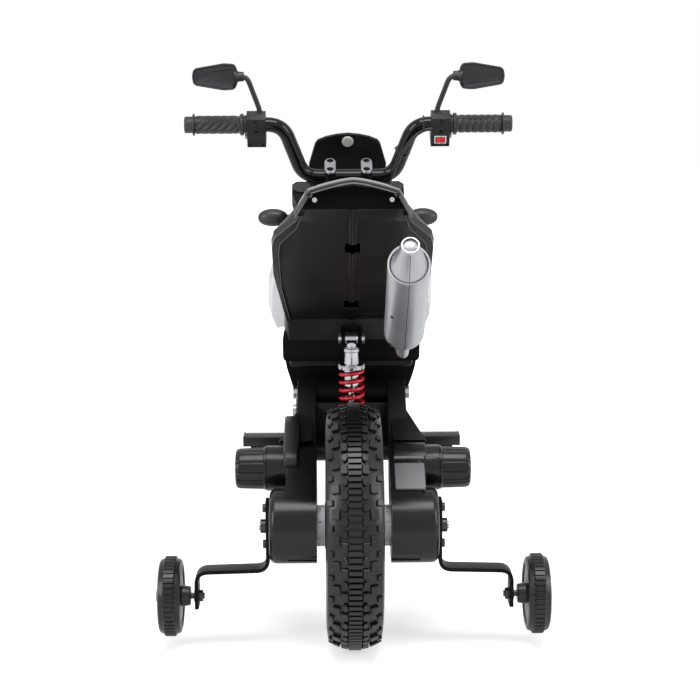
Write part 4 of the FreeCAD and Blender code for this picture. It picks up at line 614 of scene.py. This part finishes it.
def tailLip():
    # a rounded lip over the tail's arch and down its cheeks: one section carried along a line seen from
    # behind, whose height falls with a power of the distance from the middle; a near-black plate under it is
    # painted shade in the recess under the arch
    s = lipSet
    x = np.linspace(-s["half"], s["half"], s["points"])
    arch = np.stack([x, s["top"] - s["fall"] * np.abs(x / s["half"]) ** s["power"], 0 * x, 0 * x + 1], -1)
    ends = np.array(lipEnds, float)
    line = np.concatenate([ends * (-1, 1, 1, 1), arch, ends[::-1]])
    way = np.gradient(line[:, :2], axis=0)
    out = np.stack([-way[:, 1], way[:, 0]], -1) / np.linalg.norm(way, axis=1)[:, None]
    section = np.array(lipSection, float)
    flat = line[:, None, :2] + section[None, :, :1] * (out * line[:, 3:])[:, None]
    depth = s["back"] + line[:, None, 2] + section[None, :, 1] * line[:, None, 3]
    shape = capped(np.stack([flat[..., 0], depth, flat[..., 1]], -1) * mm)
    makePiece("tailLip", shape, blackPaint, "tail_cowl", added=True, sharp=50)
    face = np.concatenate([arch[:, :2] - (0, s["drop"]), shadePlateFoot])
    plate = slab(face, *s["shadePlateY"], s["shadePlateSoft"], fromBehind)
    makePiece("tailRecessShade", plate, shadeBlackPp, "tail_cowl", added=True)


tailLip()
print("arm and tail done")

shockSet = dict(top=(0, -202.409, 378), foot=(0, -200.409, 240), coil=15.5, wire=2.5, turns=6,
                stepsPerTurn=40, stroke=5.2, seat=24, collarAt=0.305, collarHigh=6, collarSoft=0.4,
                notches=22, notch=(18.0, 16.6), slant=0.2, bodyReach=0.478, bore=5.3, body=10.5,
                edge=(0.5, 0.3))
shockNeck = [(-18.5, 10.5), (-18, 11.6), (-17.5, 12), (-13.5, 12), (-13, 11.6), (-12.6, 10.5), (-11.4, 10.4),
             (-11, 7.5), (-2, 7.5)]
shockEye = [(-8, 4.05), (-8, 8.6), (-7.4, 9), (7.4, 9), (8, 8.6), (8, 4.05)]
shockTop, shockFoot = np.array(shockSet["top"], float), np.array(shockSet["foot"], float)
shockLength = np.linalg.norm(shockFoot - shockTop)
shockUp = (shockTop - shockFoot) / shockLength
rightWay = np.array([1.0, 0, 0])
shockAhead = np.cross(shockUp, rightWay)
collarZ = -shockSet["collarAt"] * shockLength
seatZ = -(shockLength - shockSet["seat"])


def onShock(p):
    # shock coordinates (right, ahead, up along it from the upper eye) to the bike's frame
    p = np.asarray(p, float)
    return (shockTop + p[..., :1] * rightWay + p[..., 1:2] * shockAhead + p[..., 2:] * shockUp) * mm


def spring():
    # a helix between the seat and the collar, on a mesh of its own
    s = shockSet
    turn = np.linspace(0, s["turns"], s["turns"] * s["stepsPerTurn"] + 1)
    low, high = seatZ + s["wire"], collarZ - s["wire"]
    a = 2 * np.pi * turn
    climb = low + (high - low) * turn / s["turns"]
    line = np.stack([s["coil"] * np.cos(a), s["coil"] * np.sin(a), climb], -1)
    shape = tube(onShock(line), s["wire"] * mm, count=14, aside=shockUp)
    piece = makePiece("redCoilSpring", shape, redPaint, "shock_spring")
    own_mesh(piece)


def shockBody():
    # a chrome cylinder with its eye, a stepped neck and a notched collar
    s = shockSet
    reach = -s["bodyReach"] * shockLength
    foot = [(reach, s["bore"]), (reach, s["body"] - s["edge"][1]), (reach + s["edge"][0], s["body"])]
    body = turnedShape(foot + shockNeck, count=64, axis="z")
    eye = turnedShape(shockEye, count=48)
    k = np.arange(s["notches"] * 4)
    a = 2 * np.pi * (k + s["slant"] * (k % 2)) / len(k)
    r = np.where(k % 4 < 2, *s["notch"])
    outline = np.stack([r * np.cos(a), r * np.sin(a)], -1)
    collar = slab(outline, collarZ, collarZ + s["collarHigh"], s["collarSoft"], asDrawn)
    verts, faces = joined(body, eye, collar)
    makePiece("chromeShockBody", (onShock(verts), faces), chromeSteel, "shock_body", sharp=30)


spring()
shockBody()
print("shock done")

stemSet = dict(thick=3.8, bend=9, ball=6, collarFoot=(132, 7, 132.6))
stemLine = [(132, 7, 131.5), (131.6, 7, 139), (147.5, 7, 192), (157, 7, 195)]
stemCollar = [(0, 5.2), (2.6, 5.2), (3.2, 4.8), (3.4, 3.6)]


def mirrorStems():
    # a bent rod from the top of each switch box to the mirror's ball, with a low collar at its foot
    s = stemSet
    turn = np.linspace(-np.pi / 2, np.pi / 2, 13)
    ball = np.stack([s["ball"] * np.sin(turn), np.maximum(s["ball"] * np.cos(turn), 0.02)], -1)
    knob, knobFaces = turnedShape(ball, count=24, axis="z")
    collar, collarFaces = turnedShape(stemCollar, count=32, axis="z")
    line = softPath(stemLine, s["bend"])
    shapes = []
    for side in sides:
        shapes += [tube(fromHead(besides(line, side) * mm), s["thick"] * mm, count=16),
                   (fromHead(besides(knob + stemLine[-1], side) * mm), knobFaces),
                   (fromHead(besides(collar + s["collarFoot"], side) * mm), collarFaces)]
    makePiece("bentStems", joined(*shapes), gripPvc, "mirror_stems")


mirrorStems()

barSet = dict(radius=11, bend=24)
barLine = [(238, 7, 113), (98, 7, 113), (68, 0, 25), (-68, 0, 25), (-98, 7, 113), (-238, 7, 113)]


def handlebar():
    # one bent tube, each corner a long soft bend
    line = softPath(barLine, barSet["bend"], steps=15)
    bar = tube(fromHead(line * mm), barSet["radius"] * mm, count=32)
    makePiece("bentBar", bar, blackPaint, "handlebar")


handlebar()

clampSet = dict(x=27.5, wide=8.5, reach=19, low=23.5, high=45, cap=4.5, foot=-24, bolts=(-11.5, 11.5),
                edge=1.6, lap=0.8, block=0.985, blockEdge=0.5, riser=(8.3, 14), riserRound=5, riserEdge=0.8)
# screw profiles: height above the cap's top, radius
clampRing = [(-1, 6.9), (0.3, 6.8), (0.7, 6.4), (0.7, 5.2), (-0.4, 5.1)]
clampFloor = [(-1, 5.3), (0.1, 5.2), (0.1, 0.02)]


def clamps():
    # a cap with round ends on a riser, and two socket screws sunk in it; the sockets' near-black floors are
    # painted shade in the holes, and the risers are black with a dull near-black that also paints out the
    # light on their rounded edges
    s = clampSet
    a = np.linspace(0, 2 * np.pi, 48, endpoint=False)
    ends = (s["reach"] - s["wide"]) * np.sign(np.sin(a))
    cap = np.stack([s["wide"] * np.cos(a), ends + s["wide"] * np.sin(a)], -1)
    w, d = s["riser"]
    riser = roundOutline(oblong(-w, w, -d, d), s["riserRound"], steps=6)
    ring, ringFaces = turnedShape(np.array(clampRing) + (s["high"], 0), count=32, axis="z")
    floor, floorFaces = turnedShape(np.array(clampFloor) + (s["high"], 0), count=24, axis="z")
    under = s["high"] - s["cap"]
    caps, risers, sockets = [], [], []
    for side in sides:
        def stand(q, across=side * s["x"]):
            return fromHead((np.asarray(q) + (across, 0, 0)) * mm)

        caps.append(slab(cap, under, s["high"], s["edge"], stand))
        risers += [slab(cap * s["block"], s["low"], under + s["lap"], s["blockEdge"], stand),
                   slab(riser, s["foot"], s["low"] + 1, s["riserEdge"], stand)]
        for bolt in s["bolts"]:
            caps.append((stand(ring + (0, bolt, 0)), ringFaces))
            sockets.append((stand(floor + (0, bolt, 0)), floorFaces))
    makePiece("clampCaps", joined(*caps), clampPaint, "bar_clamps")
    makePiece("clampRisers", joined(*risers), shadeBlackPp, "bar_clamps", added=True)
    makePiece("clampSockets", joined(*sockets), shadeBlackPp, "bar_clamps", added=True)


clamps()

mirrorSet = dict(ball=(157, 6.153, 732.375), tilt=4, edge=2.5)
mirrorOutline = [(5, -9), (6.5, -14), (9.5, -18), (14, -18.8), (25, -19.5), (66, -12.5), (69.5, -9), (71, 0),
                 (69.5, 9), (66, 12.5), (25, 19.5), (14, 18.8), (9.5, 18), (6.5, 14), (5, 9)]
# rings: how far ahead of the ball, inset from the outline
mirrorShell = [(-5.0, 2.6), (-7.4, 2.2), (-8, 1.6), (-7.8, 0.6), (-7, 0), (1, 0), (5, 1.2), (9, 3.5),
               (11.2, 6), (12, 7.5)]
mirrorGlass = [(-5.6, 2.4), (-6.3, 2.6), (-6.6, 4), (-6.9, 6), (-7.1, 8)]
mirrorBoss = [(-4, 6.2), (-4, 6.6), (-3.4, 7), (2, 7.2), (4, 8), (7, 10), (9, 10)]


def mirror(side, hand):
    # rings of the outline, each moved inwards and along the bike, closed at both ends
    tilt = math.radians(mirrorSet["tilt"])
    c, s = math.cos(tilt), math.sin(tilt)
    outline = roundOutline(mirrorOutline, mirrorSet["edge"])

    def stand(p):
        x, y, z = p[..., 0], p[..., 1], p[..., 2]
        local = np.stack([x, y * c - z * s, y * s + z * c], -1)
        return besides(local + mirrorSet["ball"], side) * mm

    def rings(rows):
        depth, inset = np.array(rows, float).T
        flat = insetRings(outline, inset)
        deep = np.broadcast_to(depth[:, None], flat.shape[:2])
        return capped(stand(np.stack([flat[..., 0], deep, flat[..., 1]], -1)))

    boss, bossFaces = turnedShape(mirrorBoss, count=40)
    shell = joined(rings(mirrorShell), (stand(boss), bossFaces))
    makePiece("mirrorShell_" + hand, shell, gripPvc, "mirror_" + hand)
    makePiece("mirrorFilm_" + hand, rings(mirrorGlass), mirrorSheet, "mirror_glass_" + hand)


mirror(-1, "left")
mirror(1, "right")
print("bar and mirrors done")

pegSet = dict(y=(-181.4, -149.4), z=(222, 236), x=(83, 152), end=1.5, pitch=2.4, depth=1.6, soft=0.25,
              armY=(-174.4, -156.4), armEdge=4, armSoft=1.0)
pegTooth = np.array([(0, 0), (0.45, 0), (0.55, 1), (1.0, 1)])  # way along the pitch, share of the depth
pegArm = [(76, 206), (97, 206), (101, 211), (101, 224), (76, 224)]


def pegs():
    # a bar with a toothed top, its outline seen from behind
    s = pegSet
    (inner, outer), (low, high) = s["x"], s["z"]
    count = int((outer - inner - 2 * s["end"]) / s["pitch"])
    tooth = np.tile(pegTooth, (count, 1))
    place = np.repeat(np.arange(count), len(pegTooth)) + tooth[:, 0]
    teeth = np.stack([outer - s["end"] - s["pitch"] * place, high - s["depth"] * tooth[:, 1]], -1)
    outline = np.concatenate([[(inner, low), (outer, low), (outer, high)], teeth, [(inner, high)]])
    arm = roundOutline(pegArm, s["armEdge"])
    shapes = []
    for side in sides:
        def stand(p, hand=side):
            return besides(fromBehind(p), hand)

        shapes += [slab(outline, *s["y"], s["soft"], stand), slab(arm, *s["armY"], s["armSoft"], stand)]
    makePiece("toothedPegs", joined(*shapes), satinAbs, "footpegs", sharp=30)


pegs()

panelSet = dict(top=(-86, 588.0), foot=(186, 403.0), rearAxle=-372.409, ribs=(36, 63, 100, 172), ribX=(6, 50),
                ribWide=1, ribHigh=(-0.4, 0.6), ribSoft=0.2, bandHigh=(-0.6, 1.6), bandEdge=3, bandSoft=0.7,
                bead=0.9, beadLift=3.1, beadBend=5)
panelFall = (panelSet["top"][1] - panelSet["foot"][1]) / (panelSet["foot"][0] - panelSet["top"][0])
panelOut = np.array([0, -panelFall, -1]) / math.hypot(panelFall, 1)
panelBand = np.array([(4.5, -69.5), (58, -69.5), (66, -45), (4.5, -45)])
rimOuter = [(66.5, -60), (70.5, -48), (97.5, -14), (101.5, 5), (102, 69), (88.5, 186)]
rimInner = [(62.5, -60), (67.5, -44), (69.8, -33), (91.9, -1), (93.8, 24), (93.2, 100), (83.5, 186)]


def onPanel(p):
    # panel coordinates (right, station along the bike, height off the panel) to the bike's frame
    y = p[..., 1] + panelSet["rearAxle"]
    z = panelSet["top"][1] - panelFall * (p[..., 1] - panelSet["top"][0])
    return (np.stack([p[..., 0], y, z], -1) + p[..., 2:] * panelOut) * mm


def panelTrim():
    # the stepped band under the tail, four thin ribs on the right half and a bead along each rim
    s = panelSet
    shapes, beads = [], []
    for side in sides:
        band = roundOutline(panelBand * (side, 1), s["bandEdge"])
        shapes.append(slab(band, *s["bandHigh"], s["bandSoft"], onPanel))
    near, far = s["ribX"]
    for station in s["ribs"]:
        rib = oblong(near, far, station, station + s["ribWide"])
        shapes.append(slab(rib, *s["ribHigh"], s["ribSoft"], onPanel))
    makePiece("panelTrim", joined(*shapes), satinAbs, "body_left", added=True)
    for side in sides:
        for line in (rimOuter, rimInner):
            points = [(side * x, station, s["beadLift"]) for x, station in line]
            path = softPath(points, s["beadBend"], steps=5)
            beads.append(tube(onPanel(path), s["bead"] * mm, count=10, aside=panelOut))
    makePiece("rimBeads", joined(*beads), edgeAbs, "body_left", added=True)


panelTrim()

bellySet = dict(edge=4, soft=2.5, blockY=(-178.5, -150), panY=(-124, -104))
bellyBlock = [(88, 389), (93.5, 384), (95.5, 372), (95, 346), (91.5, 342)]
bellyPan = [(95, 350), (94, 338), (91, 322), (85.7, 305), (80, 291)]


def belly(name, half, span):
    # one half of an outline seen from behind, mirrored and carried along the bike; the body's black
    # underside, drawn near-black and dull as painted shade under the tail
    right = np.array(half, float)
    outline = roundOutline(np.concatenate([right, right[::-1] * (-1, 1)]), bellySet["edge"])
    makePiece(name, slab(outline, *span, bellySet["soft"], fromBehind), shadeBlackPp, "body_left", added=True)


belly("bellyBlock", bellyBlock, bellySet["blockY"])
belly("bellyPan", bellyPan, bellySet["panY"])

padSet = dict(x=(53.6, 92.5), top=(-340.5, 233.2), foot=(-383, 209.6), sink=1.0, thick=2.6, edge=2, soft=0.8,
              lip=(-331, 239.6), lipRadius=2.4)
drumLine = [(53.6, 20), (53.6, 32.4), (54.2, 33), (95, 33), (95.6, 32.4), (95.6, 20)]


def casePad():
    # a flat pad on the right case's sloping face, a round lip above it and a drum round the motor; pad and
    # lip are grey as a painted highlight on the case's lit slope
    s = padSet
    top, foot = np.array(s["top"]), np.array(s["foot"])
    length = np.linalg.norm(foot - top)
    down = (foot - top) / length
    out = np.array([down[1], -down[0]])

    def onSlope(p):
        yz = top + p[..., 1:2] * down + p[..., 2:] * out
        return np.concatenate([p[..., :1], yz], -1) * mm

    outline = roundOutline(oblong(*s["x"], 0, length), s["edge"])
    pad = slab(outline, -s["sink"], s["thick"], s["soft"], onSlope)
    ends = np.array([(x, *s["lip"]) for x in s["x"]]) * mm
    drum, drumFaces = turnedShape(drumLine, count=72)
    drum = (drum + (0, capSet["y"], capSet["z"])) * mm
    makePiece("casePad", pad, greyAbsAndHighlight, "gearbox_cases", added=True)
    makePiece("caseHighlightLip", tube(ends, s["lipRadius"] * mm, count=20), greyAbsAndHighlight, "gearbox_cases", added=True)
    makePiece("caseDrum", (drum, drumFaces), smoothNylon, "gearbox_cases", added=True)


casePad()
print("pegs, panel and cases done")

podSet = dict(centre=(118, 170, 511.5), half=(23.6, 14), blunt=0.85, stalk=(70, 100), stalkRadius=5)


def pods():
    # an egg on a short stalk at each side of the fork: half an ellipse, made fuller by a power below one
    s = podSet
    turn = np.linspace(-np.pi / 2, np.pi / 2, 33)
    girth = np.maximum(np.cos(turn), 0.002) ** s["blunt"]
    egg = np.stack([s["half"][0] * np.sin(turn), s["half"][1] * girth], -1)
    inner, outer = np.array(s["stalk"]) - s["centre"][0]
    radius = s["stalkRadius"]
    stalk = [(inner, 0.05), (inner, radius), (outer, radius), (outer, 0.05)]
    shapes = []
    for side in sides:
        for line, count in ((egg, 48), (stalk, 28)):
            verts, quads = turnedShape(line, count)
            shapes.append((besides(verts + s["centre"], side) * mm, quads))
    makePiece("indicatorPods", joined(*shapes), gripPvc, "front_indicators")


pods()

canSet = dict(low=(66, -332.409, 396), rise=38, radius=26.1, length=190, seam=0.45, seamFrom=24, seamEnd=2,
              coneSeam=0.4, screws=((95, -43), (24, -43)))
# the cone: beyond the can's end, radius; the screw: above the can, radius
canCone = [(-30, 23.3), (-4, 23.3), (-1, 22.6), (38, 11.4), (43.4, 11.4), (44, 10.9), (44, 9.4), (39, 9.2),
           (39, 7.8), (42, 7.6), (42.8, 6), (43.4, 3.5), (43.6, 0.05)]
canScrew = [(-0.5, 2.6), (0.7, 2.6), (1.0, 2.2), (0.5, 1.2), (0.5, 0.02)]
canRise = math.radians(canSet["rise"])
canAlong = np.array([0, -math.cos(canRise), math.sin(canRise)])
canDown = np.array([0, -canAlong[2], canAlong[1]])


def onCan(p):
    # can coordinates (right, out from the axis on the seen side, along the axis) to the bike's frame
    p = np.asarray(p, float)
    start = np.array(canSet["low"], float)
    return (start + p[..., :1] * rightWay + p[..., 1:2] * canDown + p[..., 2:] * canAlong) * mm


def canTrim():
    # the inner cone with its tip ring, a mould seam along both and two small screws
    s = canSet
    r, end = s["radius"], s["length"]
    cone, coneFaces = turnedShape(np.array(canCone) + (end, 0), count=64, axis="z")
    makePiece("innerCone", (onCan(cone), coneFaces), silverPaint, "muffler_cone")
    canLine = [(0, r, s["seamFrom"]), (0, r, end - s["seamEnd"])]
    coneLine = [(0, radius, end + along) for along, radius in canCone[2:4]]
    seams = [tube(onCan(line), width * mm, count=6, aside=rightWay)
             for line, width in ((canLine, s["seam"]), (coneLine, s["coneSeam"]))]
    makePiece("canSeam", joined(*seams), darkZinc, "muffler_can", added=True)
    head, headFaces = turnedShape(np.array(canScrew) + (r, 0), count=24)
    out, aside, up = head.T
    shapes = []
    for along, turn in s["screws"]:
        c, n = math.cos(math.radians(turn)), math.sin(math.radians(turn))
        points = np.stack([out * n + aside * c, out * c - aside * n, along + up], -1)
        shapes.append((onCan(points), headFaces))
    makePiece("canScrews", joined(*shapes), darkZinc, "frame_bolts", added=True)


canTrim()
print("pods and can done")

leadSet = dict(behind=13.9, radius=2.5, tie=1.1, clear=0.8)
cableRoute = [(125, -6.9, 113), (98, -6.9, 113), (60, -13.9, 23), (52, -15.9, -23)]
# name, place on the bar, way along it
tieRows = [("upperTie", (112, 7, 113.0), (1, 0, 0)),
           ("lowerTie", (81.5, 3.2, 67.0), (0.34, 0.08, 0.94))]


def barCable():
    # the lead's route in steering coordinates, the same points as the solid's
    points = fromHead(np.array(cableRoute, float) * mm)
    curve = bpy.data.curves.new("barLead", "CURVE")
    curve.dimensions = "3D"
    spline = curve.splines.new("NURBS")
    spline.points.add(len(points) - 1)
    spline.points.foreach_set("co", np.concatenate([points, np.ones((len(points), 1))], 1).ravel())
    spline.order_u = 3
    spline.use_endpoint_u = True
    spline.resolution_u = 16
    curve.materials.append(leadPvc)
    piece = addObject("barLead", curve)
    thread = bpy.data.meshes.new_from_object(piece)
    line = np.empty(len(thread.vertices) * 3)
    thread.vertices.foreach_get("co", line)
    bpy.data.meshes.remove(thread)
    curve.bevel_depth, curve.bevel_resolution = leadSet["radius"] * mm, 4
    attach(piece, bodyOf["bar_cable"])
    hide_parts("bar_cable")
    return piece, line.reshape(-1, 3)


def cableTie(name, centre, along):
    # a strap round the bar and the lead: a long loop of two half circles
    s = leadSet
    a = np.linspace(0, 2 * np.pi, 48, endpoint=False)
    onBar = np.sin(a) > 0
    reach = np.where(onBar, barSet["radius"], s["radius"]) + s["clear"]
    ahead = reach * np.sin(a) + np.where(onBar, 0, -s["behind"])
    across = np.cross(np.array(along, float), (0.0, 1.0, 0.0))
    across /= np.linalg.norm(across)
    loop = np.array(centre) + (reach * np.cos(a))[:, None] * across + ahead[:, None] * (0, 1, 0)
    line = np.concatenate([loop, loop[:1]])
    shape = tube(fromHead(line * mm), s["tie"] * mm, count=8, aside=fromHead(along) - headPoint)
    return makePiece(name, shape, leadPvc, "bar_cable", added=True)


lead, leadLine = barCable()
ties = [cableTie(*row) for row in tieRows]
print("lead and ties done")

stageSet = dict(floor=9.0, under=0.0005, pale="#e9e9e9", near=0.5, far=1.6, glow=(0.55, 1.1), mirrored=0.4,
                fill=0.5, white=1.0, lens=87.43, sensor=36, eye=(-0.0292, -2.5084, 0.752), pitch=9.6,
                roll=0.25, aside=-0.718)
# name, place, what it looks at, size, watts
lampRows = [("keyLeft", (-2.2, -1.6, 1.5), (0, -0.2, 0.4), (0.8, 1.8), 32),
            ("fillRight", (2.4, -1.3, 1.4), (0, -0.2, 0.4), (0.8, 1.8), 30),
            ("topLight", (0, -0.9, 2.5), (0, -0.1, 0.3), (1.8, 1.0), 42)]


def seenBy(tree, mirrored):
    # 1 for what the camera sees straight or through glass, mirrored for what it sees in a reflection
    path = addNode(tree, "ShaderNodeLightPath").outputs
    faint = mathNode(tree, "MULTIPLY", path["Is Glossy Ray"], mirrored)
    seen = mathNode(tree, "ADD", path["Is Camera Ray"], faint, clamp=True)
    return mathNode(tree, "ADD", seen, path["Is Transmission Ray"], clamp=True)


def paleFinish(name):
    # pale paint that also glows to the camera, more with distance: the floor fades to white, its shadow stays
    s = stageSet
    material = bpy.data.materials.new(name)
    material.use_nodes = True
    tree = material.node_tree
    tree.nodes.remove(tree.nodes["Principled BSDF"])
    where = addNode(tree, "ShaderNodeTexCoord").outputs["Object"]
    away = addNode(tree, "ShaderNodeVectorMath", {0: where}, operation="LENGTH").outputs["Value"]
    rise = addNode(tree, "ShaderNodeMapRange", {"Value": away, "From Min": s["near"], "From Max": s["far"],
                                                "To Min": s["glow"][0], "To Max": s["glow"][1]})
    glowing = mathNode(tree, "MULTIPLY", seenBy(tree, s["mirrored"]), rise.outputs["Result"])
    diffuse = addNode(tree, "ShaderNodeBsdfDiffuse", {"Color": hexLinear(s["pale"])})
    light = addNode(tree, "ShaderNodeEmission", {"Color": (1, 1, 1, 1), "Strength": glowing})
    both = addNode(tree, "ShaderNodeAddShader", {0: diffuse.outputs[0], 1: light.outputs[0]})
    tree.links.new(both.outputs[0], tree.nodes["Material Output"].inputs["Surface"])
    return material


def layFloor():
    half, level = stageSet["floor"], -stageSet["under"]
    mesh = bpy.data.meshes.new("floor")
    corners = [(x, y, level) for x, y in oblong(-half, half, -half, half)]
    mesh.from_pydata(corners, [], [(0, 1, 2, 3)])
    mesh.materials.append(paleFinish("paleFloor"))
    addObject("floor", mesh)


def setWorld(scene):
    # a white background to the camera, in reflections and through glass, and a plain fill on the object
    scene.world = bpy.data.worlds.new("studio")
    scene.world.use_nodes = True
    tree = scene.world.node_tree
    level = addNode(tree, "ShaderNodeMapRange", {"Value": seenBy(tree, 1.0), "To Min": stageSet["fill"],
                                                 "To Max": stageSet["white"]})
    background = tree.nodes["Background"]
    background.inputs["Color"].default_value = (1, 1, 1, 1)
    tree.links.new(level.outputs["Result"], background.inputs["Strength"])


def softLight(name, at, target, size, power):
    lamp = bpy.data.lights.new(name, "AREA")
    lamp.shape, lamp.energy = "RECTANGLE", power
    lamp.size, lamp.size_y = size
    piece = addObject(name, lamp)
    piece.location = at
    piece.rotation_euler = (Vector(target) - Vector(at)).to_track_quat("-Z", "Y").to_euler()


def setCamera(scene):
    s = stageSet
    lens = bpy.data.cameras.new("photoCamera")
    lens.lens, lens.sensor_width = s["lens"], s["sensor"]
    camera = addObject("photoCamera", lens)
    camera.location = s["eye"]
    camera.rotation_euler = [math.radians(v) for v in (90 - s["pitch"], s["roll"], s["aside"])]
    scene.camera = camera
    scene.view_settings.view_transform = "Standard"


layFloor()
setWorld(bpy.context.scene)
for lampRow in lampRows:
    softLight(*lampRow)
setCamera(bpy.context.scene)

print("stage set")
